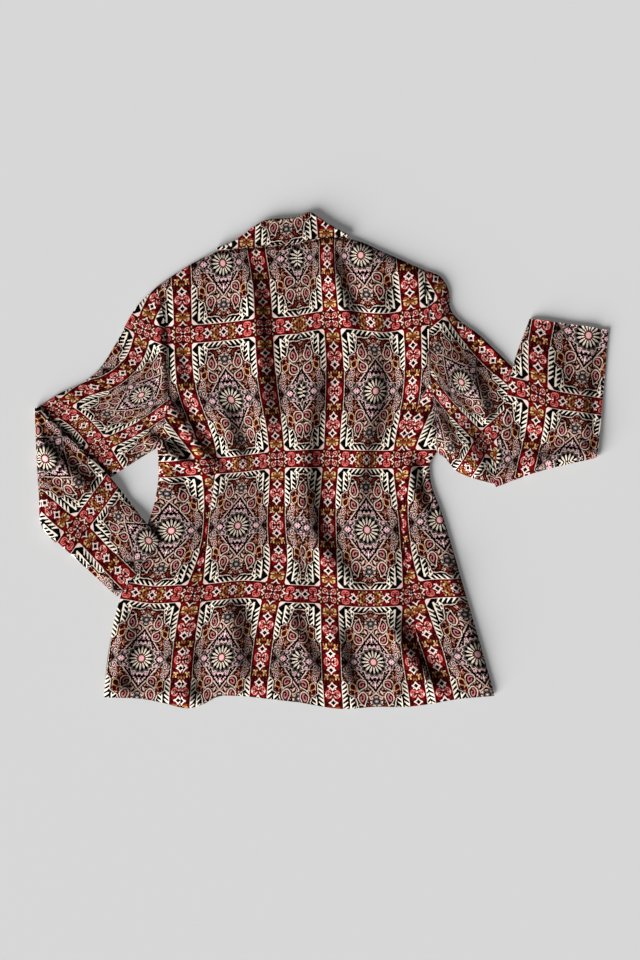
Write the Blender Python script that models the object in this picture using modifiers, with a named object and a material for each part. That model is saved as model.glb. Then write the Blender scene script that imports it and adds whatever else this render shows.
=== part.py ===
"""Riding jacket, laid flat on its front with its back up and both sleeves folded at the elbow.

X runs to the wearer's right, Y to the collar and Z up. The tables are in millimetres and the meshes in metres.
The fronts and the lower halves of the sleeves lie flat on the surface. The back, the side backs and the upper
halves of the sleeves are one low height field over them, cut into pieces at the seams. Each forearm is folded
over its upper arm, and the collar is turned down over the back neck.
"""
import bmesh
import bpy
import numpy as np

NAME = "riding_jacket"
MM = 0.001

# Cloth and how it lies, mm
CLOTH = 1.6
LAYER_GAP = 0.5
SEAM_GAP = 0.5
NECK_GAP = 1.2
FRONT_EDGE_IN = 1.5
CROWN = 2.0
CROWN_RUN = 30.0
FOREARM_CROWN = 1.5
FOREARM_RUN = 22.0
DROP_MARGIN = 2.0
DROP_RUN = 32.0
COLLAR_ROLL = 1.7
FALL_CLEARANCE = 2.7
FOLD_FADE = 0.25
TIP_SHARE = 0.3

# Heights of the middle of the cloth, mm
FLOOR_LAYER = CLOTH / 2
BACK_LAYER = FLOOR_LAYER + CLOTH + LAYER_GAP
FOREARM_REST = BACK_LAYER + CROWN + CLOTH / 2 + LAYER_GAP
ELBOW_ROLL = (FOREARM_REST + CLOTH / 2 - BACK_LAYER) / 2

# Grid cells along each seam; pieces that share a seam share its points
UPPER_ARMHOLE = 7
LOWER_ARMHOLE = 3
SIDE_SEAM = 13
PRINCESS = LOWER_ARMHOLE + SIDE_SEAM
BACK_ACROSS = 12
SIDE_BACK_ACROSS = 8
FRONT_ACROSS = 12
ARM_CELLS = 9
ROLL_CELLS = 5
FOREARM_CELLS = 10
COLLAR_CELLS = 26
STAND_CELLS = 4
FALL_CELLS = 6
CURVE_STEPS = 400

# Seams and edges of the body: (x, y) in mm, from the collar to the hem
CENTRE_BACK = [(-34, 309), (-30, 180), (-25, 83), (-23, -13), (-26, -110), (-29, -220), (-30, -333)]
CENTRE_FRONT = [(-30, 160), (-30, -327)]
HEM_LEFT = [(-299, -326), (-241, -329), (-208, -336), (-194, -340)]
HEM_BACK_LEFT = [(-194, -340), (-184, -341), (-164, -336), (-142, -325), (-116, -324), (-75, -328), (-30, -333)]
HEM_BACK_RIGHT = [(-30, -333), (30, -342), (75, -339), (119, -339), (152, -335)]
HEM_RIGHT = [(152, -335), (185, -329), (239, -324)]
SEAMS = {
    "left": {
        "armhole_upper": [(-226, 239), (-219, 206), (-214, 177), (-212, 140), (-210, 115), (-211, 89)],
        "armhole_lower": [(-211, 89), (-213, 72), (-218, 42), (-225, 19)],
        "side": [(-225, 19), (-224, -27), (-228, -53), (-247, -110), (-277, -190), (-293, -266), (-299, -326)],
        "princess": [(-211, 89), (-181, 42), (-150, -10), (-155, -82), (-172, -181), (-189, -282), (-194, -340)],
        "shoulder": [(-226, 239), (-203, 255), (-149, 287), (-140, 290)],
        "front_neck": [(-140, 290), (-118, 262), (-62, 186), (-30, 160)],
        "front_hem": [(-298, -320), (-30, -322)],
    },
    "right": {
        "armhole_upper": [(142, 262), (144, 235), (148, 205), (148, 150), (150, 106)],
        "armhole_lower": [(150, 106), (155, 77), (159, 42), (159, 12)],
        "side": [(159, 12), (150, -5), (150, -21), (168, -78), (200, -188), (222, -263), (239, -324)],
        "princess": [(150, 106), (137, 83), (115, 12), (110, -41), (124, -186), (135, -262), (152, -335)],
        "shoulder": [(142, 262), (108, 277), (41, 307), (35, 308)],
        "front_neck": [(35, 308), (18, 272), (-8, 186), (-30, 160)],
        "front_hem": [(238, -318), (-30, -322)],
    },
}

# Sleeves: the edge from the shoulder and the edge from the underarm, the fold line at the elbow and the cuff
SLEEVES = {
    "left": {
        "shoulder_edge": [(-226, 239), (-251, 215), (-284, 158), (-306, 125), (-326, 108), (-362, 91), (-390, 73)],
        "underarm_edge": [(-225, 19), (-280, -16), (-339, -61), (-362, -112)],
        "fold": [(-390, 73), (-384, -46), (-379, -92), (-362, -112)],
        "forearm_shoulder_edge": [(-390, 73), (-339, 23), (-291, -23), (-257, -66), (-221, -111)],
        "forearm_underarm_edge": [(-362, -112), (-319, -152), (-280, -187)],
        "cuff": [(-221, -111), (-250, -150), (-280, -187)],
    },
    "right": {
        "shoulder_edge": [(142, 262), (163, 254), (176, 232), (177, 212), (222, 169), (264, 128), (380, 9)],
        "underarm_edge": [(159, 12), (170, 5), (186, -13), (217, -26), (240, -32)],
        "fold": [(380, 9), (288, -14), (240, -32)],
        "forearm_shoulder_edge": [(380, 9), (389, 97), (396, 180)],
        "forearm_underarm_edge": [(240, -32), (242, 6), (248, 48), (254, 78), (264, 128), (288, 195)],
        "cuff": [(396, 180), (342, 188), (288, 195)],
    },
}

# Collar, from the wearer's left to right: neck seam, fold and edge of the fall, x and y of each in mm
COLLAR_COLUMNS = ("neck_x", "neck_y", "fold_x", "fold_y", "fall_x", "fall_y")
COLLAR_STATIONS = [
    (-139, 290, -143, 291, -138, 287),
    (-118, 296, -118, 301, -118, 292),
    (-97, 303, -96, 317, -97, 294),
    (-80, 306, -82, 326, -77, 295),
    (-34, 310, -34, 333, -33, 299),
    (-10, 315, -13, 339, -7, 305),
    (0, 316, -4, 333, 4, 307),
    (19, 313, 18, 319, 19, 309),
    (35, 308, 37, 309, 34, 305),
]

# Large folds of the back, each a soft ridge from one point to another: sizes in mm
FOLD_COLUMNS = ("x0", "y0", "x1", "y1", "rise", "half_width")
FOLDS = {
    "shoulder_blade_left": (-96, 280, -84, 40, 2.6, 20),
    "waist_centre": (-30, -20, -34, -200, 4.0, 15),
    "waist_right_of_centre": (24, -30, 22, -190, 3.2, 15),
    "beside_left_princess": (-128, -40, -142, -330, 3.6, 18),
    "outside_left_princess": (-176, -60, -222, -330, 3.0, 20),
    "beside_right_princess": (92, -50, 104, -330, 4.0, 16),
    "outside_right_princess": (132, -60, 176, -330, 3.6, 18),
    "below_left_armhole": (-222, 30, -168, -14, 2.6, 13),
    "below_right_armhole": (146, 70, 122, -8, 2.2, 12),
    "right_upper_arm": (168, 110, 240, 22, 2.4, 16),
}


def smooth_curve(points, cells):
    """cells + 1 points, evenly spaced, on a smooth curve through the given ones."""
    points = np.array(points, float)
    knots = np.concatenate([[0.0], np.cumsum(np.linalg.norm(np.diff(points, axis=0), axis=1))])
    slopes = np.gradient(points, knots, axis=0)
    steps = np.linspace(0.0, knots[-1], CURVE_STEPS + 1)
    span = np.clip(np.searchsorted(knots, steps, side="right") - 1, 0, len(knots) - 2)
    width = np.diff(knots)[span][:, None]
    t = (steps - knots[span])[:, None] / width
    curve = (
        (2 * t**3 - 3 * t**2 + 1) * points[span]
        + (t**3 - 2 * t**2 + t) * width * slopes[span]
        + (3 * t**2 - 2 * t**3) * points[span + 1]
        + (t**3 - t**2) * width * slopes[span + 1]
    )
    travelled = np.concatenate([[0.0], np.cumsum(np.linalg.norm(np.diff(curve, axis=0), axis=1))])
    even = np.linspace(0.0, travelled[-1], cells + 1)
    return np.column_stack([np.interp(even, travelled, curve[:, k]) for k in (0, 1)])


def chain(*curves):
    """Joins sampled curves end to end, each shared point once."""
    return np.concatenate([curves[0]] + [curve[1:] for curve in curves[1:]])


def patch(top, bottom, left, right):
    """A grid of plan points inside four sampled edges, rows from top to bottom, columns from left to right."""
    u = np.linspace(0.0, 1.0, len(top))[None, :, None]
    v = np.linspace(0.0, 1.0, len(left))[:, None, None]
    across = (1 - u) * left[:, None] + u * right[:, None]
    along = (1 - v) * top[None, :] + v * bottom[None, :]
    corners = (1 - v) * ((1 - u) * top[0] + u * top[-1]) + v * ((1 - u) * bottom[0] + u * bottom[-1])
    return across + along - corners


def draw_in(edge, inner, distance):
    """Moves the points of one edge of a grid towards the next row or column."""
    step = inner - edge
    edge += step * (distance / np.linalg.norm(step, axis=-1, keepdims=True))


def edge_distance(outline, plan):
    """Distance of plan points from a closed outline, mm."""
    flat = plan.reshape(-1, 1, 2)
    start = outline[None, :, :]
    run = np.roll(outline, -1, axis=0)[None, :, :] - start
    length = np.maximum((run**2).sum(-1), 1e-9)
    t = np.clip(((flat - start) * run).sum(-1) / length, 0.0, 1.0)
    gap = np.linalg.norm(flat - start - t[..., None] * run, axis=-1)
    return gap.min(axis=1).reshape(plan.shape[:-1])


def is_inside(outline, plan):
    """True for plan points inside a closed outline."""
    x, y = plan[..., 0, None], plan[..., 1, None]
    x0, y0 = outline[:, 0], outline[:, 1]
    x1, y1 = np.roll(x0, -1), np.roll(y0, -1)
    crosses = (y0 > y) != (y1 > y)
    rise = np.where(y1 == y0, 1.0, y1 - y0)
    return (crosses & (x < x0 + (y - y0) * (x1 - x0) / rise)).sum(-1) % 2 == 1


def ease(t):
    """Smooth step from 0 to 1."""
    t = np.clip(t, 0.0, 1.0)
    return t * t * (3 - 2 * t)


# Sampled seams and edges
ARMHOLE_UPPER = {side: smooth_curve(seams["armhole_upper"], UPPER_ARMHOLE) for side, seams in SEAMS.items()}
ARMHOLE_LOWER = {side: smooth_curve(seams["armhole_lower"], LOWER_ARMHOLE) for side, seams in SEAMS.items()}
SIDES = {side: smooth_curve(seams["side"], SIDE_SEAM) for side, seams in SEAMS.items()}
PRINCESSES = {side: smooth_curve(seams["princess"], PRINCESS) for side, seams in SEAMS.items()}
SLEEVE_CELLS = UPPER_ARMHOLE + LOWER_ARMHOLE
COLLAR = dict(zip(COLLAR_COLUMNS, np.array(COLLAR_STATIONS, float).T))


def collar_line(name):
    """One line of the collar, sampled along the neck."""
    points = np.column_stack([COLLAR[name + "_x"], COLLAR[name + "_y"]])
    return smooth_curve(points, COLLAR_CELLS)


def arm_outline(side):
    """Closed outline of an upper arm."""
    table = SLEEVES[side]
    return np.concatenate([
        chain(ARMHOLE_UPPER[side], ARMHOLE_LOWER[side]),
        smooth_curve(table["underarm_edge"], ARM_CELLS)[1:],
        smooth_curve(table["fold"], SLEEVE_CELLS)[::-1][1:],
        smooth_curve(table["shoulder_edge"], ARM_CELLS)[::-1][1:-1],
    ])


def body_outline():
    """Closed outline of the body with its collar, without the sleeves."""
    return np.concatenate([
        chain(ARMHOLE_UPPER["left"], ARMHOLE_LOWER["left"], SIDES["left"]),
        smooth_curve(HEM_LEFT + HEM_BACK_LEFT[1:] + HEM_BACK_RIGHT[1:] + HEM_RIGHT[1:], 3 * BACK_ACROSS)[1:],
        chain(ARMHOLE_UPPER["right"], ARMHOLE_LOWER["right"], SIDES["right"])[::-1][1:],
        smooth_curve(SEAMS["right"]["shoulder"][:-1], BACK_ACROSS)[1:],
        collar_line("fold")[::-1],
        smooth_curve(SEAMS["left"]["shoulder"][:-1], BACK_ACROSS)[::-1],
    ])


def silhouette():
    """Closed outline of the body and both upper arms."""
    left, right = SLEEVES["left"], SLEEVES["right"]
    return np.concatenate([
        smooth_curve(left["shoulder_edge"], ARM_CELLS),
        smooth_curve(left["fold"], SLEEVE_CELLS)[1:],
        smooth_curve(left["underarm_edge"], ARM_CELLS)[::-1][1:],
        SIDES["left"][1:],
        smooth_curve(HEM_LEFT + HEM_BACK_LEFT[1:] + HEM_BACK_RIGHT[1:] + HEM_RIGHT[1:], 3 * BACK_ACROSS)[1:],
        SIDES["right"][::-1][1:],
        smooth_curve(right["underarm_edge"], ARM_CELLS)[1:],
        smooth_curve(right["fold"], SLEEVE_CELLS)[::-1][1:],
        smooth_curve(right["shoulder_edge"], ARM_CELLS)[::-1][1:],
        smooth_curve(SEAMS["right"]["shoulder"][:-1], BACK_ACROSS)[1:],
        collar_line("fold")[::-1],
        smooth_curve(SEAMS["left"]["shoulder"][:-1], BACK_ACROSS)[::-1][:-1],
    ])


ARMS = {side: arm_outline(side) for side in SLEEVES}
BODY = body_outline()
SILHOUETTE = silhouette()


def fold_rise(plan):
    """Sum of the large folds, each fading out at its ends."""
    total = np.zeros(plan.shape[:-1])
    for row in FOLDS.values():
        fold = dict(zip(FOLD_COLUMNS, row))
        start = np.array([fold["x0"], fold["y0"]], float)
        run = np.array([fold["x1"], fold["y1"]], float) - start
        length = np.linalg.norm(run)
        t = (plan - start) @ run / length**2
        side = ((plan - start) @ np.array([-run[1], run[0]])) / length
        ends = ease(t / FOLD_FADE) * ease((1 + FOLD_FADE - t) / FOLD_FADE)
        total += fold["rise"] * ends * np.exp(-((side / fold["half_width"]) ** 2))
    return total


def back_height(plan):
    """Middle of the upper layer: it rises from every edge to a low crown, with the large folds on it."""
    edge = ease(edge_distance(SILHOUETTE, plan) / CROWN_RUN)
    return BACK_LAYER + edge * (CROWN + fold_rise(plan))


def forearm_height(plan, side):
    """Middle of the lower layer of a forearm: on the upper arm or the body, and down to the surface past them."""
    lift = np.zeros(plan.shape[:-1])
    for outline in (ARMS[side], BODY):
        outside = np.where(is_inside(outline, plan), 0.0, edge_distance(outline, plan))
        lift = np.maximum(lift, 1 - ease((outside - DROP_MARGIN) / DROP_RUN))
    return FLOOR_LAYER + FOREARM_REST * lift


def with_height(plan, height):
    return np.concatenate([plan, np.broadcast_to(height, plan.shape[:-1])[..., None]], axis=-1)


def back_grid(side):
    """Centre back panel: shoulder and neck at the top, armhole and princess seam outside, centre seam inside."""
    shoulder = np.array(SEAMS[side]["shoulder"][:-1], float)
    middle = len(COLLAR_STATIONS) // 2
    neck = np.column_stack([COLLAR["neck_x"], COLLAR["neck_y"] - NECK_GAP])
    neck = neck[: middle + 1] if side == "left" else neck[middle:][::-1]
    top = smooth_curve(np.concatenate([shoulder[:-1], neck]), BACK_ACROSS)
    hem = HEM_BACK_LEFT if side == "left" else HEM_BACK_RIGHT[::-1]
    centre = smooth_curve([tuple(top[-1])] + CENTRE_BACK[1:], UPPER_ARMHOLE + PRINCESS)
    outer = chain(ARMHOLE_UPPER[side], PRINCESSES[side])
    plan = patch(top, smooth_curve(hem, BACK_ACROSS), outer, centre)
    draw_in(plan[:, 0], plan[:, 1], SEAM_GAP / 2)
    draw_in(plan[:, -1], plan[:, -2], SEAM_GAP / 2)
    return with_height(plan, back_height(plan))


def side_back_grid(side):
    """Side back panel, from its point at the armhole to the hem."""
    outer = chain(ARMHOLE_LOWER[side], SIDES[side])
    inner = PRINCESSES[side]
    tip = draw_tip(outer[0], outer[1], inner[1])
    outer, inner = np.array(outer), np.array(inner)
    outer[0], inner[0] = tip
    hem = HEM_LEFT if side == "left" else HEM_RIGHT[::-1]
    plan = patch(smooth_curve(tip, SIDE_BACK_ACROSS), smooth_curve(hem, SIDE_BACK_ACROSS), outer, inner)
    draw_in(plan[:, 0], plan[:, 1], SEAM_GAP / 2)
    draw_in(plan[:, -1], plan[:, -2], SEAM_GAP / 2)
    return with_height(plan, back_height(plan))


def draw_tip(point, outer, inner):
    """Blunts a pointed panel: two points a little way down the two seams that meet in it."""
    return [tuple(point + TIP_SHARE * (seam - point)) for seam in (outer, inner)]


def front_grid(side):
    """Front panel, flat on the surface, from the side seam to the centre front."""
    outer = chain(ARMHOLE_UPPER[side], ARMHOLE_LOWER[side], SIDES[side])
    centre = smooth_curve(CENTRE_FRONT, len(outer) - 1)
    top = smooth_curve(SEAMS[side]["shoulder"] + SEAMS[side]["front_neck"][1:], FRONT_ACROSS)
    hem = smooth_curve(SEAMS[side]["front_hem"], FRONT_ACROSS)
    outer[-1], centre[-1] = hem[0], hem[-1]
    plan = patch(top, hem, outer, centre)
    draw_in(plan[:, 0], plan[:, 1], FRONT_EDGE_IN)
    draw_in(plan[:, -1], plan[:, -2], SEAM_GAP / 2)
    draw_in(plan[0], plan[1], FRONT_EDGE_IN)
    return with_height(plan, FLOOR_LAYER)


def sleeve_grid(side, half):
    """One half of a sleeve: upper arm, round the fold at the elbow, then the forearm."""
    table = SLEEVES[side]
    armhole = chain(ARMHOLE_UPPER[side], ARMHOLE_LOWER[side])
    fold = smooth_curve(table["fold"], SLEEVE_CELLS)
    arm = patch(
        armhole,
        fold,
        smooth_curve(table["shoulder_edge"], ARM_CELLS),
        smooth_curve(table["underarm_edge"], ARM_CELLS),
    )
    forearm = patch(
        fold,
        smooth_curve(table["cuff"], SLEEVE_CELLS),
        smooth_curve(table["forearm_shoulder_edge"], FOREARM_CELLS),
        smooth_curve(table["forearm_underarm_edge"], FOREARM_CELLS),
    )
    draw_in(arm[0], arm[1], SEAM_GAP / 2 if half == "back" else FRONT_EDGE_IN)
    roll = ELBOW_ROLL
    arm_height = back_height(arm)
    forearm_middle = forearm_height(forearm, side)
    if half == "front":
        roll += CLOTH + LAYER_GAP
        arm_height = FLOOR_LAYER
        edges = np.minimum(*forearm_edges(forearm))
        forearm_middle = forearm_middle + CLOTH + LAYER_GAP + FOREARM_CROWN * ease(edges / FOREARM_RUN)
    along = (fold[-1] - fold[0]) / np.linalg.norm(fold[-1] - fold[0])
    outward = np.array([along[1], -along[0]])
    outward *= np.sign(outward @ (fold.mean(0) - armhole.mean(0)))
    turns = np.linspace(0.0, np.pi, ROLL_CELLS + 1)[1:-1]
    rolled = [
        with_height(fold + outward * roll * np.sin(turn), BACK_LAYER + ELBOW_ROLL - roll * np.cos(turn))
        for turn in turns
    ]
    return np.concatenate([with_height(arm, arm_height), rolled, with_height(forearm, forearm_middle)])


def forearm_edges(forearm):
    """Distance across the forearm of each point from its two long edges."""
    width = np.linalg.norm(forearm[:, -1] - forearm[:, 0], axis=-1)[:, None]
    u = np.linspace(0.0, 1.0, forearm.shape[1])[None, :]
    return u * width, (1 - u) * width


def collar_grid():
    """Turned-down collar: stand up from the neck seam, round the fold, and the fall over the back neck."""
    neck, fold, fall = (collar_line(name) for name in ("neck", "fold", "fall"))
    stand = [neck + t * (fold - neck) for t in np.linspace(0.0, 1.0, STAND_CELLS + 1)]
    turned = [fold + t * (fall - fold) for t in np.linspace(0.0, 1.0, FALL_CELLS + 1)]
    rise = 2 * COLLAR_ROLL
    outward = fold - fall
    outward /= np.linalg.norm(outward, axis=-1, keepdims=True)
    turns = np.linspace(0.0, np.pi, ROLL_CELLS + 1)[1:-1]
    base = back_height(fold)
    rows = [with_height(row, back_height(row)) for row in stand]
    rows += [
        with_height(fold + outward * COLLAR_ROLL * np.sin(turn), base + COLLAR_ROLL * (1 - np.cos(turn)))
        for turn in turns
    ]
    for t, row in zip(np.linspace(0.0, 1.0, FALL_CELLS + 1), turned):
        rows.append(with_height(row, back_height(row) + rise + t * (FALL_CLEARANCE - rise)))
    return np.array(rows)


def cloth_material(name, colour):
    material = bpy.data.materials.new(name)
    material.use_nodes = True
    shader = material.node_tree.nodes["Principled BSDF"]
    shader.inputs["Base Color"].default_value = (*colour, 1.0)
    shader.inputs["Roughness"].default_value = 0.85
    shader.inputs["Metallic"].default_value = 0.0
    return material


def cloth_piece(name, grid, colour, collection, parent):
    """A sheet over a grid of points, thickened to the cloth on both sides of it."""
    rows, columns = grid.shape[0] - 1, grid.shape[1] - 1
    sheet = bmesh.new()
    bmesh.ops.create_grid(sheet, x_segments=columns, y_segments=rows, size=1.0)
    for vertex in sheet.verts:
        column = round((vertex.co.x + 1) / 2 * columns)
        row = round((vertex.co.y + 1) / 2 * rows)
        vertex.co = grid[row, column] * MM
    mesh = bpy.data.meshes.new(name)
    sheet.to_mesh(mesh)
    sheet.free()
    mesh.shade_smooth()
    mesh.materials.append(cloth_material(name + "_cloth", colour))
    piece = bpy.data.objects.new(name, mesh)
    thicken = piece.modifiers.new("cloth", "SOLIDIFY")
    thicken.thickness = CLOTH * MM
    thicken.offset = 0.0
    collection.objects.link(piece)
    piece.parent = parent
    return piece


BACK_COLOUR = (0.20, 0.07, 0.06)
SIDE_COLOUR = (0.22, 0.09, 0.08)
FRONT_COLOUR = (0.17, 0.06, 0.05)
SLEEVE_COLOUR = (0.21, 0.08, 0.07)
COLLAR_COLOUR = (0.24, 0.08, 0.07)


def build():
    for old in list(bpy.data.objects):
        bpy.data.objects.remove(old)
    collection = bpy.data.collections.new(NAME)
    bpy.context.scene.collection.children.link(collection)
    parent = bpy.data.objects.new(NAME, None)
    collection.objects.link(parent)
    for side in ("left", "right"):
        cloth_piece("front_" + side, front_grid(side), FRONT_COLOUR, collection, parent)
        cloth_piece("back_" + side, back_grid(side), BACK_COLOUR, collection, parent)
        cloth_piece("side_back_" + side, side_back_grid(side), SIDE_COLOUR, collection, parent)
        for half in ("front", "back"):
            cloth_piece(f"sleeve_{side}_{half}", sleeve_grid(side, half), SLEEVE_COLOUR, collection, parent)
    cloth_piece("collar", collar_grid(), COLLAR_COLOUR, collection, parent)


build()
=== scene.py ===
"""Looks of the riding jacket that lies flat with its back up: shells of one figured cloth on the solids.

X runs to the wearer's right, Y to the collar and Z up. Tables are in millimetres, meshes in metres. The
seams, edges and most large folds repeat those of the solids. The drapes, the finer creases, the rounded
edges, the run of the pattern over each piece and the pattern itself are added here.
"""
from functools import partial
from math import atan, cos, pi, radians, sin

import bpy
import numpy as np
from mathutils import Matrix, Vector


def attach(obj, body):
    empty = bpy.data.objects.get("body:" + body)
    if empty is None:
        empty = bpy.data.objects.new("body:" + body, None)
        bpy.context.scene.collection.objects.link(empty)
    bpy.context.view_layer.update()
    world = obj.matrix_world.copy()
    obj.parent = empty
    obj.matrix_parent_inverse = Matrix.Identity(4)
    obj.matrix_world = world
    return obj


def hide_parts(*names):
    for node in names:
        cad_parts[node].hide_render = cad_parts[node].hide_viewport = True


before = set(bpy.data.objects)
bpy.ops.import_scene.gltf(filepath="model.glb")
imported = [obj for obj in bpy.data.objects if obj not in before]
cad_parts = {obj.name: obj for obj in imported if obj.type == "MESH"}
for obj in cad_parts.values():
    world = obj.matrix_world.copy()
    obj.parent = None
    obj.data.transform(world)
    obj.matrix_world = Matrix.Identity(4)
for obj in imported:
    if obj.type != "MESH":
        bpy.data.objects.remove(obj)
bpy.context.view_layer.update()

MM = 0.001
TINY = 1e-9

# Cloth and how it lies, as in the solids, mm
CLOTH = 1.6
LAYER_GAP = 0.5
SEAM_GAP = 0.5
NECK_GAP = 1.2
FRONT_EDGE_IN = 1.5
CROWN = 2.0
CROWN_RUN = 30.0
FOREARM_CROWN = 1.5
FOREARM_RUN = 22.0
DROP_MARGIN = 2.0
COLLAR_ROLL = 1.7
FALL_CLEARANCE = 2.7
FOLD_FADE = 0.25
FLOOR_LAYER = CLOTH / 2
BACK_LAYER = FLOOR_LAYER + CLOTH + LAYER_GAP
FOREARM_REST = BACK_LAYER + CROWN + CLOTH / 2 + LAYER_GAP
ELBOW_ROLL = (FOREARM_REST + CLOTH / 2 - BACK_LAYER) / 2

# What differs from the solids, in mm or as a share: the way down of the forearms past the arms, the points of
# the side backs, and how the cloth stands proud
DROP_RUN = {"left": 55.0, "right": 85.0}
TIP_SHARE = 0.08
LOFT = 4.4
EDGE_ROLL = 6.0
FOREARM_LOFT = 2.2
CREASE_RUN = 14.0
SEAM_DEPTH = 0.8
SEAM_REACH = 3.6
UNEVEN = 0.45
RIM_BULGE = 0.2
UNDER_FADE = 26.0
PRESSED = 0.35
SOFT_REST = 1.6
COLLAR_LIFT = 4.0
COLLAR_FURROW = 4.2
COLLAR_FURROW_HALF = 2.3
COLLAR_FURROW_BELOW = 1.4

# Grid cells along each seam; FINE cells for each one of the solids, fewer on the hidden fronts. The first
# rows at the neck are split for the furrow under the collar.
FINE = 8
FRONT_FINE = 4
UPPER_ARMHOLE = 7
LOWER_ARMHOLE = 3
SIDE_SEAM = 13
PRINCESS = LOWER_ARMHOLE + SIDE_SEAM
SLEEVE_CELLS = UPPER_ARMHOLE + LOWER_ARMHOLE
BACK_ACROSS = 12
SIDE_BACK_ACROSS = 8
FRONT_ACROSS = 12
ARM_CELLS = 9
ROLL_CELLS = 8
FOREARM_CELLS = 10
COLLAR_CELLS = 26
STAND_CELLS = 8
FALL_CELLS = 14
HEM_CELLS = 5 * BACK_ACROSS
NECK_ROWS = 10
NECK_SPLIT = 4
CURVE_STEPS = 1200
CREASE_CELLS = 16
OUTLINE_FINE = 4
SIDE_FINE = 2
SEAM_FINE = 4
EDGE_CELLS = {
    "armhole_upper": UPPER_ARMHOLE,
    "armhole_lower": LOWER_ARMHOLE,
    "side": SIDE_SEAM,
    "princess": PRINCESS,
    "shoulder_edge": ARM_CELLS,
    "underarm_edge": ARM_CELLS,
    "fold": SLEEVE_CELLS,
    "cuff": SLEEVE_CELLS,
    "forearm_shoulder_edge": FOREARM_CELLS,
    "forearm_underarm_edge": FOREARM_CELLS,
}

# Seams and edges of the body: (x, y) in mm, from the collar to the hem
CENTRE_BACK = [(-34, 309), (-30, 180), (-25, 83), (-23, -13), (-26, -110), (-29, -220), (-30, -333)]
CENTRE_FRONT = [(-30, 160), (-30, -327)]
HEM_LEFT = [(-299, -326), (-241, -329), (-208, -336), (-194, -340)]
HEM_BACK_LEFT = [
    (-194, -340), (-184, -341), (-164, -336), (-142, -325), (-116, -324), (-75, -328), (-30, -333),
]
HEM_BACK_RIGHT = [(-30, -333), (30, -342), (75, -339), (119, -339), (152, -335)]
HEM_RIGHT = [(152, -335), (185, -329), (239, -324)]
SEAMS = {
    "left": {
        "armhole_upper": [(-226, 239), (-219, 206), (-214, 177), (-212, 140), (-210, 115), (-211, 89)],
        "armhole_lower": [(-211, 89), (-213, 72), (-218, 42), (-225, 19)],
        "side": [
            (-225, 19), (-224, -27), (-228, -53), (-247, -110), (-277, -190), (-293, -266), (-299, -326),
        ],
        "princess": [
            (-211, 89), (-181, 42), (-150, -10), (-155, -82), (-172, -181), (-189, -282), (-194, -340),
        ],
        "shoulder": [(-226, 239), (-203, 255), (-149, 287), (-140, 290)],
        "front_neck": [(-140, 290), (-118, 262), (-62, 186), (-30, 160)],
        "front_hem": [(-298, -320), (-30, -322)],
    },
    "right": {
        "armhole_upper": [(142, 262), (144, 235), (148, 205), (148, 150), (150, 106)],
        "armhole_lower": [(150, 106), (155, 77), (159, 42), (159, 12)],
        "side": [(159, 12), (150, -5), (150, -21), (168, -78), (200, -188), (222, -263), (239, -324)],
        "princess": [(150, 106), (137, 83), (115, 12), (110, -41), (124, -186), (135, -262), (152, -335)],
        "shoulder": [(142, 262), (108, 277), (41, 307), (35, 308)],
        "front_neck": [(35, 308), (18, 272), (-8, 186), (-30, 160)],
        "front_hem": [(238, -318), (-30, -322)],
    },
}

# Sleeves: the edge from the shoulder and the edge from the underarm, the fold line at the elbow and the cuff
SLEEVES = {
    "left": {
        "shoulder_edge": [
            (-226, 239), (-251, 215), (-284, 158), (-306, 125), (-326, 108), (-362, 91), (-390, 73),
        ],
        "underarm_edge": [(-225, 19), (-280, -16), (-339, -61), (-362, -112)],
        "fold": [(-390, 73), (-384, -46), (-379, -92), (-362, -112)],
        "forearm_shoulder_edge": [(-390, 73), (-339, 23), (-291, -23), (-257, -66), (-221, -111)],
        "forearm_underarm_edge": [(-362, -112), (-319, -152), (-280, -187)],
        "cuff": [(-221, -111), (-250, -150), (-280, -187)],
    },
    "right": {
        "shoulder_edge": [(142, 262), (163, 254), (176, 232), (177, 212), (222, 169), (264, 128), (380, 9)],
        "underarm_edge": [(159, 12), (170, 5), (186, -13), (217, -26), (240, -32)],
        "fold": [(380, 9), (288, -14), (240, -32)],
        "forearm_shoulder_edge": [(380, 9), (389, 97), (396, 180)],
        "forearm_underarm_edge": [(240, -32), (242, 6), (248, 48), (254, 78), (264, 128), (288, 195)],
        "cuff": [(396, 180), (342, 188), (288, 195)],
    },
}

# Collar, from the wearer's left to right: neck seam, fold and edge of the fall, x and y of each in mm
COLLAR_COLUMNS = ("neck_x", "neck_y", "fold_x", "fold_y", "fall_x", "fall_y")
COLLAR_STATIONS = [
    (-139, 290, -143, 291, -138, 287),
    (-118, 296, -118, 301, -118, 292),
    (-97, 303, -96, 317, -97, 294),
    (-80, 306, -82, 326, -77, 295),
    (-34, 310, -34, 333, -33, 299),
    (-10, 315, -13, 339, -7, 305),
    (0, 316, -4, 333, 4, 307),
    (19, 313, 18, 319, 19, 309),
    (35, 308, 37, 309, 34, 305),
]

# Large folds of the back, each a soft ridge from one point to another: sizes in mm
FOLD_COLUMNS = ("x0", "y0", "x1", "y1", "rise", "half_width")
FOLDS = {
    "shoulder_blade_left": (-96, 280, -84, 40, 2.6, 20),
    "waist_centre": (-30, -20, -34, -200, 4.0, 15),
    "beside_left_princess": (-128, -40, -142, -330, 3.6, 18),
    "outside_left_princess": (-176, -60, -222, -330, 3.0, 20),
    "beside_right_princess": (92, -50, 104, -330, 4.0, 16),
    "below_left_armhole": (-222, 30, -168, -14, 2.6, 13),
    "below_right_armhole": (146, 70, 122, -8, 2.2, 12),
}

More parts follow.
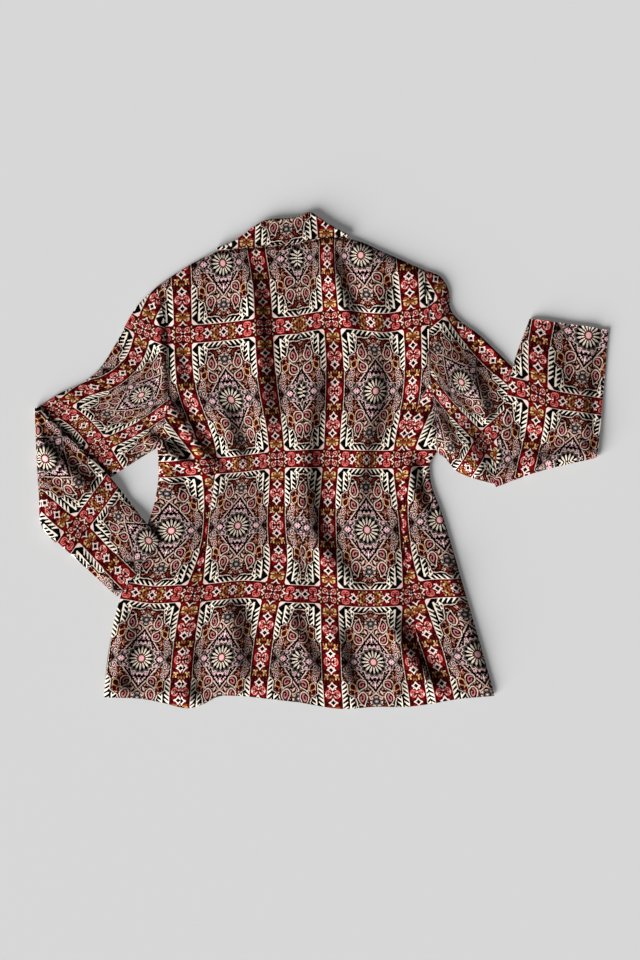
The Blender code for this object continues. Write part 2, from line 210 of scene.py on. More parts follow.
# Drapes of the back: path of the steep side, with a ridge on its right hand and a hollow on its left; rise
# and reach of both, mm
DRAPES = {
    "blade_left": ([(-97, 300), (-82, 217), (-75, 152), (-66, 60), (-60, 10)], 6.0, 13),
    "left_underarm": ([(-214, 110), (-195, 76), (-176, 44), (-144, -5), (-126, -34)], 6.0, 10),
    "left_blade": ([(-132, 96), (-115, 37), (-103, -16)], 4.8, 11),
    "left_cap": ([(-200, 186), (-194, 129), (-178, 80)], 3.6, 11),
    "centre": (
        [(24, 190), (12, 138), (2, 92), (-9, 40), (-10, -8), (-6, -64), (9, -114), (43, -158), (89, -202)],
        7.2,
        15,
    ),
    "neck_right": ([(15, 306), (21, 284), (33, 235), (48, 192), (58, 160)], 5.0, 11),
    "blade_right": ([(49, 196), (64, 157), (82, 125), (83, 78), (69, 23), (60, -60), (62, -112)], 6.0, 13),
    "right_blade": ([(86, 272), (93, 230), (86, 180), (100, 116)], 3.6, 13),
    "right_arm": ([(164, 212), (192, 154), (226, 92), (280, 14)], 7.8, 32),
    "right_arm_low": ([(152, 160), (174, 96), (198, 44), (236, -20)], 3.4, 18),
    "right_arm_edge": ([(112, 76), (170, 50), (206, 20), (292, -18)], 5.0, 21),
    "right_elbow": ([(204, 136), (226, 88), (240, 44)], 2.4, 9),
    "right_underarm": ([(126, 16), (136, -30), (154, -84)], 5.4, 12),
    "right_flare": ([(96, -200), (116, -240), (135, -274), (160, -302), (178, -336)], 7.0, 13),
    "left_hem": ([(-122, -176), (-108, -226), (-106, -262), (-112, -316)], 5.5, 14),
    "centre_hem_left": ([(-46, -190), (-34, -218), (-8, -272), (4, -316)], 4.0, 11),
    "centre_hem_right": ([(22, -216), (37, -270), (46, -326)], 5.0, 11),
    "left_edge": ([(-248, -204), (-262, -270), (-276, -350)], 6.5, 15),
    "left_pocket": ([(-246, 46), (-218, 24), (-196, 9), (-166, -8)], 6.8, 7),
    "left_armhole": ([(-224, 250), (-214, 160), (-211, 64)], 4.2, 5.5),
    "left_side_edge": ([(-208, 112), (-204, 50), (-200, 0), (-194, -70)], 4.2, 13),
    "left_corner": ([(-168, -268), (-176, -304), (-178, -346)], 3.6, 10),
    "left_hem_curl": ([(-390, -300), (-288, -306), (-239, -308), (-190, -318), (-90, -304)], 3.6, 13),
}

# Drapes of the forearms, the same columns
FOREARM_DRAPES = {
    "right_cuff": ([(382, 214), (376, 110), (368, 10)], 3.8, 14),
    "right_lower_edge": ([(236, -24), (290, 2), (336, 18), (392, 34)], 3.8, 13),
    "right_middle": ([(302, 214), (344, 100), (390, -20)], 4.0, 30),
}

# Creases of the back and the upper arms: path, rise above or below the cloth and half width, mm
BACK_CREASES = {
    "blade_left_slope": ([(-122, 310), (-112, 210), (-102, 100)], 1.6, 44),
    "right_shoulder_slope": ([(18, 330), (92, 302), (182, 258)], 3.6, 46),
    "right_cap_ridge": ([(164, 258), (169, 206), (164, 150)], 2.2, 15),
    "right_armhole_ridge": ([(126, 220), (138, 150), (142, 83), (140, 14)], 1.4, 15),
    "right_underarm_hollow": ([(172, 46), (194, 14), (226, -8)], -2.4, 11),
    "left_waist_dimple": ([(-168, 8), (-152, -10), (-140, -30)], -3.0, 7),
    "right_flare_ridge": ([(166, -90), (192, -200), (214, -266), (230, -330)], 4.6, 15),
    "left_side_ridge": ([(-168, -150), (-184, -248), (-196, -336)], 3.4, 11),
    "right_arm_crease_1": ([(158, 92), (178, 50), (198, -8)], -2.6, 6),
    "right_arm_crease_2": ([(170, 100), (196, 60), (216, 4)], 1.6, 6),
    "right_arm_crease_3": ([(184, 104), (214, 66), (234, 16)], -2.4, 6),
    "left_cap_pucker_1": ([(-236, 220), (-222, 190), (-212, 152)], -2.0, 5),
    "left_cap_pucker_2": ([(-248, 204), (-232, 172), (-216, 142)], 1.6, 5),
    "left_elbow_hollow": ([(-396, 94), (-330, 38), (-272, -22)], -4.6, 14),
}

# Creases of the forearms, the same columns
FOREARM_CREASES = {
    "left_elbow_valley": ([(-474, 136), (-402, 66), (-350, 20), (-276, -52)], -7.4, 14),
    "left_elbow_ridge": ([(-468, 96), (-406, 36), (-362, -4), (-292, -70)], 6.8, 13),
    "left_forearm_hollow": ([(-384, -44), (-338, -78), (-280, -126)], -1.0, 12),
    "right_forearm_crease_1": ([(256, 66), (280, 40), (308, 34)], -2.6, 7),
    "right_forearm_crease_2": ([(250, 24), (286, 6), (330, 2)], 2.0, 8),
    "right_forearm_hollow": ([(290, -6), (330, 14), (376, 24)], -3.2, 12),
}

# Share of its path over which a drape or a crease fades out at each end
END_FADE = 0.32

# Slow unevenness of the cloth: two wave counts for each metre and a start, for each wave
UNEVEN_WAVES = [(5, 3, 0.3), (-4, 8, 1.7), (9, -2, 2.9), (2, 11, 4.1), (-8, -6, 5.2)]

# How the pattern runs over each piece: where its lengthwise bands, cross bands and daisies lie, mm.
# Bands have whole numbers, daisies the halves between them, and other lines a share of the way between bands.
# RUN_EASE lets the run pass its places by a little, to stay smooth.
PATTERN_RUN = {
    "back_left": {
        "lengthwise": {
            0: [(-193, 253), (-190, 172), (-184, 92), (-156, 16), (-164, -67), (-177, -193), (-192, -332)],
            1: [
                (-91, 292), (-79, 183), (-72, 92), (-61, 5),
                (-62, -89), (-58, -148), (-69, -190), (-87, -324),
            ],
            1.44: [(-34, 295), (-32, 250)],
        },
        "crosswise": {
            2: [(-214, 172), (-153, 175), (-77, 183), (-33, 186)],
            1: [(-153, -8), (-116, -6), (-61, 1), (-25, 2)],
            0: [(-172, -184), (-137, -180), (-99, -177), (-69, -181), (-33, -184)],
        },
        "daisies": {
            (0.5, 2.5): (-135, 271), (0.5, 1.5): (-124, 83),
            (0.5, 0.5): (-115, -90), (0.5, -0.5): (-137, -271),
        },
    },
    "back_right": {
        "lengthwise": {
            2: [(8, 304), (14, 193), (18, 86), (14, 3), (8, -75), (11, -184), (14, -292), (17, -336)],
            3: [
                (119, 273), (124, 201), (126, 114), (110, 10),
                (119, -78), (124, -193), (121, -250), (134, -332),
            ],
            1.56: [(-33, 295), (-31, 250)],
        },
        "crosswise": {
            2: [(-30, 187), (-1, 193), (47, 193), (88, 188), (121, 195), (144, 198)],
            1: [(-22, 2), (12, 3), (47, 1), (84, 1), (113, 1)],
            0: [(-29, -184), (11, -186), (46, -190), (84, -190), (121, -187)],
        },
        "daisies": {
            (2.5, 2.5): (54, 282), (2.5, 1.5): (75, 95), (2.5, 0.5): (63, -96), (2.5, -0.5): (72, -278),
        },
    },
    "side_back_left": {
        "lengthwise": {
            0: [(-211, 78), (-184, 39), (-156, 2), (-149, -61), (-155, -122), (-181, -198), (-197, -332)],
        },
        "crosswise": {
            1: [(-218, -13), (-175, -10), (-153, -8)],
            0: [(-266, -180), (-230, -186), (-197, -183), (-175, -184)],
        },
        "daisies": {(-0.5, 0.5): (-206, -97), (-0.5, -0.5): (-248, -273)},
    },
    "side_back_right": {
        "lengthwise": {
            3: [
                (149, 97), (127, 46), (116, 16), (109, -27),
                (110, -110), (138, -219), (153, -260), (171, -332),
            ],
        },
        "crosswise": {
            1: [(121, 3), (149, 3)],
            0: [(124, -183), (146, -177), (168, -176), (188, -176)],
        },
        "daisies": {(3.5, 0.5): (163, -82), (3.5, -0.5): (215, -267)},
    },
    "sleeve_left_back": {
        "lengthwise": {
            1: [(-239, 198), (-246, 169), (-257, 137), (-293, 106), (-326, 97), (-360, 72)],
            0: [(-304, 19), (-269, 35), (-235, 55), (-217, 67)],
        },
        "crosswise": {
            0: [(-243, 180), (-229, 176), (-214, 170)],
            1: [(-360, 72), (-331, 53), (-304, 19), (-286, -14)],
        },
        "daisies": {(0.5, 0.5): (-247, 90)},
    },
    "sleeve_left_front": {
        "lengthwise": {
            0: [(-382, -56), (-351, -86), (-335, -93), (-308, -122), (-266, -165)],
            1: [(-375, 89), (-324, 38), (-276, -8), (-242, -51)],
        },
        "crosswise": {0: [(-287, -28), (-315, -67), (-335, -93), (-355, -122)]},
        "daisies": {(0.5, 0.5): (-237, -110), (0.5, -0.5): (-379, 2)},
    },
    "sleeve_right_back": {
        "lengthwise": {
            1: [(157, 250), (170, 228), (175, 212), (193, 184), (221, 154), (255, 121)],
            0: [(157, 99), (174, 77), (200, 49), (222, 27)],
        },
        "crosswise": {
            0: [(148, 197), (172, 215)],
            1: [(244, 48), (222, 27), (215, 13), (203, -8)],
        },
        "daisies": {(0.5, 0.5): (192, 107)},
    },
    "sleeve_right_front": {
        "lengthwise": {
            0: [(305, 191), (298, 155), (298, 95), (293, 41), (279, -16)],
            0.36: [(352, 173)],
            0.64: [(384, 171)],
        },
        "crosswise": {0: [(264, 101), (283, 96), (310, 85), (353, 78), (385, 74)]},
        "daisies": {(0.5, 0.5): (368, 172), (0.5, -0.5): (338, -6), (-0.5, -0.5): (233, 4)},
    },
    "collar": {
        "lengthwise": {0: [(-103, 307), (-102, 325)], 1: [(6, 324), (4, 340)]},
        "crosswise": {
            0.097: [(-127, 295), (-77, 296), (-7, 306), (21, 308)],
            0.275: [(-81, 326), (-12, 339)],
        },
        "daisies": {},
    },
}
RUN_EASE = 0.02

# The repeat of the cloth, and the small squares that its specks fill, mm
CELL_W = 108.0
CELL_H = 180.0
BAND = 11.5
THREAD = 0.6
FIELD_SPECK = 2.0
BAND_SPECK = 1.9

# Ovals in a quarter of the repeat: place from its middle and half sizes in mm, tilt in degrees, three yarns,
# and for a paisley the bend of its tip and the turn of its spiral
OVAL_COLUMNS = ("x", "y", "across", "along", "tilt", "line", "ground", "inside", "bend", "turn")
CURLS = [
    (17.4, 51.4, 5.6, 9.8, -8, "grey", "field", "rose", 0.6, 1),
    (28.2, 35.6, 3.6, 6.0, 24, "straw", "rust", "maroon", 0.6, 1),
    (18.6, 32.2, 6.2, 8.4, -46, "grey", "field", "rose", 0.7, -1),
    (31.0, 23.6, 3.6, 5.8, 34, "grey", "maroon", "pink", -0.6, 1),
    (34.0, 10.8, 3.6, 5.8, 8, "silver", "field", "pink", 0.5, -1),
]
DROPS = [
    (7.4, 42.4, 1.3, 3.2, -30, "grey", "field", "pink"),
    (7.6, 66.2, 3.4, 1.6, 24, "grey", "field", "red"),
    (25.0, 63.0, 2.0, 3.0, 30, "rust", "field", "maroon"),
]
WARM_GROUND = (29, 30, 11, 9, -40)
ROSETTE = (0, 54.6, 7.8, 6.8, 0)

# Parts of a paisley and rings of a drop, as shares of their ovals
CURL_TAPER = 0.5
CURL_POINT = 0.5
CURL_GROUND = 1.22
CURL_LINE = 0.96
CURL_LINE_HALF = 0.105
CURL_CORE = 0.70
CURL_LOW = 0.20
CURL_ASIDE = 0.15
CURL_START = 0.25
CURL_EYE = 0.16
CURL_GROWTH = 0.42
CURL_SPIRAL = 0.12
DROP_RINGS = [(1.3, "ground"), (1.0, "line"), (0.5, "inside")]

# Specks of a ground: each yarn shows where the specks pass its share
FIELD_SPECKS = [(0.48, "maroon"), (0.70, "red"), (0.86, "rust")]
WARM_SPECKS = [(0.30, "maroon"), (0.62, "rust"), (0.86, "olive"), (0.94, "blush")]
LOZENGE_SPECKS = [(0.60, "lilac"), (0.75, "pink")]
BAND_SPECKS = [(0.16, "maroon"), (0.45, "red"), (0.95, "blush")]
BAND_RIM_SPECKS = [(0.62, "red")]
WARM_WING_SPECKS = [(0.30, "rust"), (0.48, "olive"), (0.82, "straw")]
CORAL_WING_SPECKS = [(0.84, "blush")]
CROSSING_SPECKS = [(0.40, "red"), (0.62, "rust"), (0.80, "straw")]
CROSSING_PETAL_SPECKS = [(0.60, "blush")]
WARM_BAND_SPECKS = [(0.50, "rust")]

# Scrolls of the field: turn for each mm, sway, and turn of the sway; half width and share of the pale yarn
SCROLL_ACROSS = (0.72, 1.7, 0.55)
SCROLL_ALONG = (0.66, 1.9, 0.6)
SCROLL_HALF = 0.22
SCROLL_PALE = 0.46

# Lozenge round the daisy: half sizes in mm, lines as a share of it with their half width
LOZENGE_ACROSS = 30.0
LOZENGE_ALONG = 41.0
LOZENGE_EDGE = (0.98, 0.045)
LOZENGE_LINE = (1.06, 0.024)
LOZENGE_SIDE_LINE = (1.06, 0.046)
SIDE_LINE_BELOW = 10.0

# Forks at the lozenge's points and the strip beside it, mm
TOP_FORK = {"from": 43.2, "slope": 0.75, "half": 0.8, "reach": 8.5, "start": -0.6}
SIDE_FORK = {"from": 31.4, "slope": 1.3, "half": 1.5}
STRIP_FROM = 38.4
STRIP_BELOW = 27.0
STRIP_LINE = {"in": 1.4, "half": 0.5, "swing": 0.9, "turn": 0.42}

# Rosette, as shares of its oval, and spade and florets, mm; a halo is a share of what it lies round
ROSETTE_PETALS = 7
ROSETTE_START = 0.25
ROSETTE_GROUND = 1.05
ROSETTE_EDGE = 1.02
ROSETTE_DENT = 0.8
ROSETTE_RING = (0.5, 0.12)
ROSETTE_RIM = (0.92, 0.10)
ROSETTE_RIM_SPAN = 0.32
ROSETTE_EYE = 0.16
SPADE_AT = 32.0
SPADE_ACROSS = 3.9
SPADE_ALONG = 5.4
SPADE_SLIT = (1.7, 0.5)
SPADE_HEART = 0.40
FLORET_COLUMNS = ("x", "y", "size")
FLORETS = [(25.4, 0.0, 4.9), (8.6, 21.6, 3.2), (21.6, 9.2, 3.0)]
FLORET_SLIT = 0.5
FLORET_SLIT_SPAN = (0.6, 0.3)
HALO = 1.35

# Daisy: radii in mm; widths of petals as a share of the turn from one to the next
DAISY_PETALS = 16
DAISY_SQUEEZE = 0.92
DAISY_GROUND = 19.0
SCALLOPS = [(20.4, "grey"), (18.0, "lilac")]
SCALLOP_HALF = 0.6
SCALLOP_DEPTH = 6.0
PETAL_FROM = 5.6
PETAL_TO = 15.2
PETAL_ROUND = 10.0
PETAL_HALF = 0.235
PETAL_WIDEST = 10.5
PETAL_TAPER = 0.012
VEIN = (11.5, 3.0)
VEIN_HALF = 0.05
DAISY_EYE = [(5.3, "maroon"), (4.2, "coral"), (3.4, "pink")]

# Outline of the field, its rim, and the ferns outside it, mm
FIELD_END = 69.6
FIELD_TIP = 5.6
FIELD_TIP_HALF = 7.6
FIELD_TIP_STEEP = 0.16
FIELD_END_HALF = 22.4
FIELD_STEP_COLUMNS = ("wider", "below", "steep")
FIELD_STEPS = [(4.0, 69.0, 0.053), (9.3, 50.5, 0.15), (6.5, 30.5, 0.15)]
FIELD_RIM = [(-3.0, "field"), (-1.2, "grey"), (0.0, "black")]
RIM_TURN = 0.75
RIM_SWING = 0.3
COMB_SIDE = 41.2
COMB_END = 77.2
COMB_PITCH = 6.3
COMB_SLANT = 0.85
COMB_TAPER = 0.032
SIDE_BROAD = 0.31
END_BROAD = 0.25
COMB_REACH = 5.4
COMB_BELOW = 70.0
END_COMB_WITHIN = 27.6
END_COMB_START = 2.0
SPIKE_COLUMNS = ("x", "from", "broad")
SPIKES = [(32.6, 47.5, 0.8), (25.8, 61.0, 0.65)]
SPIKE_TOP = 73.5
SPIKE_TAPER = 0.06
SPIKE_HALF = 0.3

# Line round the cell, with its corners cut off, mm
CHAMFER = 2.4
INNER_CHAMFER = 8.0
CHAMFER_SLOPE = 0.72
EDGE_LINE = 0.85
EDGE_LINE_ABOVE = 30.0
DARK_EDGE = 1.0

# Bands: spacing of the stars, and ovals placed across and along from half way between two stars, mm
CROSS_STARS = 21.6
LONG_STARS = 22.5
BAND_RIM = 2.4
WING = (5.2, 0, 4.4, 5.6, 0)
WING_NOTCH = (2.6, 0, 2.2, 1.9, 0)
WING_SWIRL = (5.4, 2.2, 3.0, 2.6, 0)
SWIRL_LINE = (0.55, 0.17)
WARM_BAND = (0, 0, 9.0, 6.5, 0)
STAR_RINGS = [(7.5, "maroon"), (6.7, "blush")]
STAR_NOTCH = 0.7
STAR_HEART = 3.2
CROSSING_PETAL = (5.6, 5.6, 3.7, 3.7, 0)
CROSSING_RING = (0.55, 0.2)
CROSSING_RAY = (0.0, 0.8)
CROSSING_RAY_REACH = 7.0
CROSSING_HEART = 2.6

# Colours of the yarns, as they look on a screen, 0 to 255
YARNS = {
    "black": (5, 4, 4),
    "cream": (244, 230, 211),
    "maroon": (52, 6, 9),
    "red": (112, 15, 19),
    "coral": (216, 104, 98),
    "pink": (226, 178, 182),
    "rust": (122, 56, 34),
    "olive": (152, 108, 58),
    "grey": (206, 184, 168),
    "slate": (104, 96, 94),
    "field": (22, 5, 6),
    "lilac": (94, 80, 84),
    "blush": (240, 212, 202),
    "rose": (180, 112, 112),
    "silver": (188, 178, 162),
    "straw": (214, 178, 122),
}
YARN_NUMBER = {name: number for number, name in enumerate(YARNS)}
SCREEN_GAMMA = 2.2

# How the cloth and the floor take the light; depth of the weave in metres
CLOTH_ROUGHNESS = 0.85
CLOTH_SHINE = 0.04
WEAVE_STRENGTH = 0.25
WEAVE_DEPTH = 0.0002
FLOOR_ROUGHNESS = 0.9
FLOOR_SHINE = 0.1

# Camera: straight above the middle of the photo's frame
FRAME_CENTRE = (-0.0014, -0.0269)
FRAME_HEIGHT = 1.325
CAMERA_HEIGHT = 3.2
SENSOR = 36.0

# Light: where it comes from, its power and breadth, and the fill from all round; the floor's colour, a glow
# of the floor that is painted light lifting the shadows on it, and the floor's size
KEY_FROM = (-0.64, -0.645, 0.42)
KEY_POWER = 7.25
KEY_BREADTH = radians(46)
FILL = 0.045
FLOOR_SHADE = 0.55
FLOOR_GLOW = 0.12
FLOOR_HALF = 40.0


def smooth_curve(points, cells):
    """cells + 1 points, evenly spaced, on a smooth curve through the given ones."""
    points = np.array(points, float)
    knots = np.concatenate([[0.0], np.cumsum(np.linalg.norm(np.diff(points, axis=0), axis=1))])
    slopes = np.gradient(points, knots, axis=0)
    steps = np.linspace(0.0, knots[-1], CURVE_STEPS + 1)
    span = np.clip(np.searchsorted(knots, steps, side="right") - 1, 0, len(knots) - 2)
    width = np.diff(knots)[span][:, None]
    t = (steps - knots[span])[:, None] / width
    curve = (
        (2 * t**3 - 3 * t**2 + 1) * points[span]
        + (t**3 - 2 * t**2 + t) * width * slopes[span]
        + (3 * t**2 - 2 * t**3) * points[span + 1]
        + (t**3 - t**2) * width * slopes[span + 1]
    )
    travelled = np.concatenate([[0.0], np.cumsum(np.linalg.norm(np.diff(curve, axis=0), axis=1))])
    even = np.linspace(0.0, travelled[-1], cells + 1)
    return np.column_stack([np.interp(even, travelled, curve[:, k]) for k in (0, 1)])


def chain(*curves):
    """Joins sampled curves end to end, each shared point once."""
    return np.concatenate([curves[0]] + [curve[1:] for curve in curves[1:]])


def patch(top, bottom, left, right):
    """A grid of plan points inside four sampled edges: rows run down, columns to the right."""
    u = np.linspace(0.0, 1.0, len(top))[None, :, None]
    v = np.linspace(0.0, 1.0, len(left))[:, None, None]
    across = (1 - u) * left[:, None] + u * right[:, None]
    along = (1 - v) * top[None, :] + v * bottom[None, :]
    corners = (1 - v) * ((1 - u) * top[0] + u * top[-1]) + v * ((1 - u) * bottom[0] + u * bottom[-1])
    return across + along - corners


def draw_in(edge, inner, distance):
    """Moves the points of one edge of a grid towards the next row or column."""
    step = inner - edge
    edge += step * (distance / np.linalg.norm(step, axis=-1, keepdims=True))


def line_distance(line, plan):
    """Distance of plan points from an open line, mm, and how far along it the nearest point is, 0 to 1."""
    flat = plan.reshape(-1, 1, 2)
    start = line[None, :-1]
    run = np.diff(line, axis=0)[None]
    length = np.maximum((run**2).sum(-1), TINY)
    t = np.clip(((flat - start) * run).sum(-1) / length, 0.0, 1.0)
    gap = np.linalg.norm(flat - start - t[..., None] * run, axis=-1)
    nearest = gap.argmin(axis=1)
    rows = np.arange(len(nearest))
    along = (nearest + t[rows, nearest]) / (len(line) - 1)
    return gap[rows, nearest].reshape(plan.shape[:-1]), along.reshape(plan.shape[:-1])


def edge_distance(outline, plan):
    """Distance of plan points from a closed outline, mm."""
    return line_distance(np.concatenate([outline, outline[:1]]), plan)[0]


def is_inside(outline, plan):
    """True for plan points inside a closed outline."""
    x, y = plan[..., 0, None], plan[..., 1, None]
    x0, y0 = outline[:, 0], outline[:, 1]
    x1, y1 = np.roll(x0, -1), np.roll(y0, -1)
    crosses = (y0 > y) != (y1 > y)
    rise = np.where(y1 == y0, 1.0, y1 - y0)
    return (crosses & (x < x0 + (y - y0) * (x1 - x0) / rise)).sum(-1) % 2 == 1


def distance_outside(outline, plan):
    """Distance of plan points from a closed outline, 0 inside it, mm."""
    return np.where(is_inside(outline, plan), 0.0, edge_distance(outline, plan))


def ease(t):
    """Smooth step from 0 to 1."""
    t = np.clip(t, 0.0, 1.0)
    return t * t * (3 - 2 * t)


def rounded(t):
    """Quarter circle from 0 to 1, steep at first."""
    return np.sqrt(1 - (1 - np.clip(t, 0.0, 1.0)) ** 2)


# Seams and edges sampled for the heights
COLLAR = dict(zip(COLLAR_COLUMNS, np.array(COLLAR_STATIONS, float).T))


def seam(side, name, fine=1):
    """One seam of the body or edge of a sleeve, sampled."""
    table = SEAMS if name in SEAMS[side] else SLEEVES
    return smooth_curve(table[side][name], EDGE_CELLS[name] * fine)


def armhole(side, fine=1):
    """The whole armhole, from the shoulder to the underarm."""
    return chain(seam(side, "armhole_upper", fine), seam(side, "armhole_lower", fine))


def collar_line(name, fine=1):
    """One line of the collar, sampled along the neck."""
    points = np.column_stack([COLLAR[name + "_x"], COLLAR[name + "_y"]])
    return smooth_curve(points, COLLAR_CELLS * fine)


def whole_hem():
    return smooth_curve(HEM_LEFT + HEM_BACK_LEFT[1:] + HEM_BACK_RIGHT[1:] + HEM_RIGHT[1:], HEM_CELLS)


def side_seam(side):
    return seam(side, "side", SIDE_FINE)


def shoulder(side):
    return smooth_curve(SEAMS[side]["shoulder"][:-1], BACK_ACROSS)


def sleeve_edges(side):
    """Edges of an upper arm: from the shoulder, from the underarm, and the fold at the elbow."""
    return [seam(side, name, OUTLINE_FINE) for name in ("shoulder_edge", "underarm_edge", "fold")]


def arm_outline(side):
    """Closed outline of an upper arm."""
    from_shoulder, from_underarm, fold = sleeve_edges(side)
    return np.concatenate([armhole(side), from_underarm[1:], fold[::-1][1:], from_shoulder[::-1][1:-1]])


def body_outline():
    """Closed outline of the body with its collar, without the sleeves."""
    return np.concatenate([
        chain(armhole("left"), side_seam("left"), whole_hem()),
        chain(armhole("right"), side_seam("right"))[::-1][1:],
        shoulder("right")[1:],
        collar_line("fold", FINE)[::-1],
        shoulder("left")[::-1],
    ])


def silhouette():
    """Closed outline of the body and both upper arms."""
    left_shoulder, left_underarm, left_fold = sleeve_edges("left")
    right_shoulder, right_underarm, right_fold = sleeve_edges("right")
    return np.concatenate([
        chain(left_shoulder, left_fold, left_underarm[::-1], side_seam("left"), whole_hem()),
        chain(side_seam("right")[::-1], right_underarm, right_fold[::-1], right_shoulder[::-1])[1:],
        shoulder("right")[1:],
        collar_line("fold", FINE)[::-1],
        shoulder("left")[::-1][:-1],
    ])


def forearm_outline(side):
    """Closed outline of a forearm."""
    return np.concatenate([
        seam(side, "fold"),
        seam(side, "forearm_underarm_edge")[1:],
        seam(side, "cuff")[::-1][1:],
        seam(side, "forearm_shoulder_edge")[::-1][1:-1],
    ])


ARMS = {side: arm_outline(side) for side in SLEEVES}
FOREARMS = {side: forearm_outline(side) for side in SLEEVES}
BODY = body_outline()
SILHOUETTE = silhouette()


def fold_rise(plan):
    """Sum of the large folds, each fading out at its ends."""
    total = np.zeros(plan.shape[:-1])
    for row in FOLDS.values():
        fold = dict(zip(FOLD_COLUMNS, row))
        start = np.array([fold["x0"], fold["y0"]], float)
        run = np.array([fold["x1"], fold["y1"]], float) - start
        length = np.linalg.norm(run)
        t = (plan - start) @ run / length**2
        side = ((plan - start) @ np.array([-run[1], run[0]])) / length
        ends = ease(t / FOLD_FADE) * ease((1 + FOLD_FADE - t) / FOLD_FADE)
        total += fold["rise"] * ends * np.exp(-((side / fold["half_width"]) ** 2))
    return total


def faded_ends(along):
    """1 in the middle of a path, down to 0 at both ends."""
    return ease(along / END_FADE) * ease((1 - along) / END_FADE)


def drape_rise(plan, drapes):
    """Sum of the drapes of a table, each a ridge that falls over its path into a hollow."""
    total = np.zeros(plan.shape[:-1])
    for path, rise, reach in drapes.values():
        line = smooth_curve(path, CREASE_CELLS)
        gap, along = line_distance(line, plan)
        step = np.minimum((along * CREASE_CELLS).astype(int), CREASE_CELLS - 1)
        run, offset = np.diff(line, axis=0)[step], plan - line[step]
        hand = np.sign(run[..., 0] * offset[..., 1] - run[..., 1] * offset[..., 0])
        side = hand * gap / reach
        total -= rise * faded_ends(along) * side * np.exp((1 - side**2) / 2)
    return total


def crease_rise(plan, creases):
    """Sum of the creases of a table."""
    total = np.zeros(plan.shape[:-1])
    for path, rise, half_width in creases.values():
        gap, along = line_distance(smooth_curve(path, CREASE_CELLS), plan)
        total += rise * faded_ends(along) * np.exp(-((gap / half_width) ** 2))
    return total


def uneven_rise(plan):
    """Slow, low waves that keep the cloth from looking pressed."""
    total = np.zeros(plan.shape[:-1])
    for across, along, start in UNEVEN_WAVES:
        total += np.sin(2 * pi * MM * (across * plan[..., 0] + along * plan[..., 1]) + start)
    return UNEVEN * total


def seam_dip(plan):
    """Furrow along the seams of the back."""
    dip = np.zeros(plan.shape[:-1])
    lines = [smooth_curve(CENTRE_BACK, PRINCESS * SEAM_FINE)]
    for side in SEAMS:
        lines += [seam(side, "princess", SEAM_FINE), armhole(side, SEAM_FINE)]
    for line in lines:
        dip = np.maximum(dip, np.exp(-((line_distance(line, plan)[0] / SEAM_REACH) ** 2)))
    return SEAM_DEPTH * dip


def uncovered(plan):
    """1 where no forearm lies on the cloth, down to 0 under one."""
    share = np.ones(plan.shape[:-1])
    for outline in FOREARMS.values():
        share = np.minimum(share, ease(distance_outside(outline, plan) / UNDER_FADE))
    return share


def back_height(plan):
    """Middle of the upper layer: round at every edge, a low crown, and folds, creases and seams on it."""
    gap = edge_distance(SILHOUETTE, plan)
    free = uncovered(plan)
    solid = ease(gap / CROWN_RUN) * (CROWN + free * fold_rise(plan))
    loft = LOFT * (PRESSED + (1 - PRESSED) * free)
    proud = loft * rounded(gap / EDGE_ROLL) - seam_dip(plan) * ease(gap / EDGE_ROLL)
    soft = drape_rise(plan, DRAPES) + crease_rise(plan, BACK_CREASES) + uneven_rise(plan)
    creases = free * ease(gap / CREASE_RUN) * soft
    height = solid + proud + creases
    rest = SOFT_REST * ease(gap / CROWN_RUN)
    return BACK_LAYER + (height + np.sqrt(height**2 + rest**2)) / 2


def collar_furrow(plan):
    """Narrow furrow in the back under the edge of the collar's fall."""
    line = collar_line("fall") - (0.0, COLLAR_FURROW_BELOW)
    return COLLAR_FURROW * np.exp(-((line_distance(line, plan)[0] / COLLAR_FURROW_HALF) ** 2))


def finer_top(plan):
    """The grid with its first rows split, for the narrow furrow along the neck."""
    start, stop = plan[:NECK_ROWS, None], plan[1:NECK_ROWS + 1, None]
    part = (np.arange(NECK_SPLIT) / NECK_SPLIT)[None, :, None, None]
    split = (start + part * (stop - start)).reshape(-1, *plan.shape[1:])
    return np.concatenate([split, plan[NECK_ROWS:]])


def forearm_height(plan, side):
    """Middle of the lower layer of a forearm: on the arm or the body, and down to the surface past them."""
    lift = np.zeros(plan.shape[:-1])
    for outline in (ARMS[side], BODY):
        drop = (distance_outside(outline, plan) - DROP_MARGIN) / DROP_RUN[side]
        lift = np.maximum(lift, 1 - ease(drop))
    inside = np.where(is_inside(SILHOUETTE, plan), edge_distance(SILHOUETTE, plan), 0.0)
    return FLOOR_LAYER + lift * (FOREARM_REST + PRESSED * LOFT * rounded(inside / EDGE_ROLL))


def with_height(plan, height):
    return np.concatenate([plan, np.broadcast_to(height, plan.shape[:-1])[..., None]], axis=-1)


def back_grid(side):
    """Centre back panel: shoulder and neck on top, armhole and princess seam outside, centre seam inside."""
    shoulder_line = np.array(SEAMS[side]["shoulder"][:-1], float)
    middle = len(COLLAR_STATIONS) // 2
    neck = np.column_stack([COLLAR["neck_x"], COLLAR["neck_y"] - NECK_GAP])
    neck = neck[: middle + 1] if side == "left" else neck[middle:][::-1]
    top = smooth_curve(np.concatenate([shoulder_line[:-1], neck]), BACK_ACROSS * FINE)
    hem = HEM_BACK_LEFT if side == "left" else HEM_BACK_RIGHT[::-1]
    centre = smooth_curve([tuple(top[-1])] + CENTRE_BACK[1:], (UPPER_ARMHOLE + PRINCESS) * FINE)
    outer = chain(seam(side, "armhole_upper", FINE), seam(side, "princess", FINE))
    plan = patch(top, smooth_curve(hem, BACK_ACROSS * FINE), outer, centre)
    draw_in(plan[:, 0], plan[:, 1], SEAM_GAP / 2)
    draw_in(plan[:, -1], plan[:, -2], SEAM_GAP / 2)
    plan = finer_top(plan)
    return with_height(plan, back_height(plan) - collar_furrow(plan)), plan


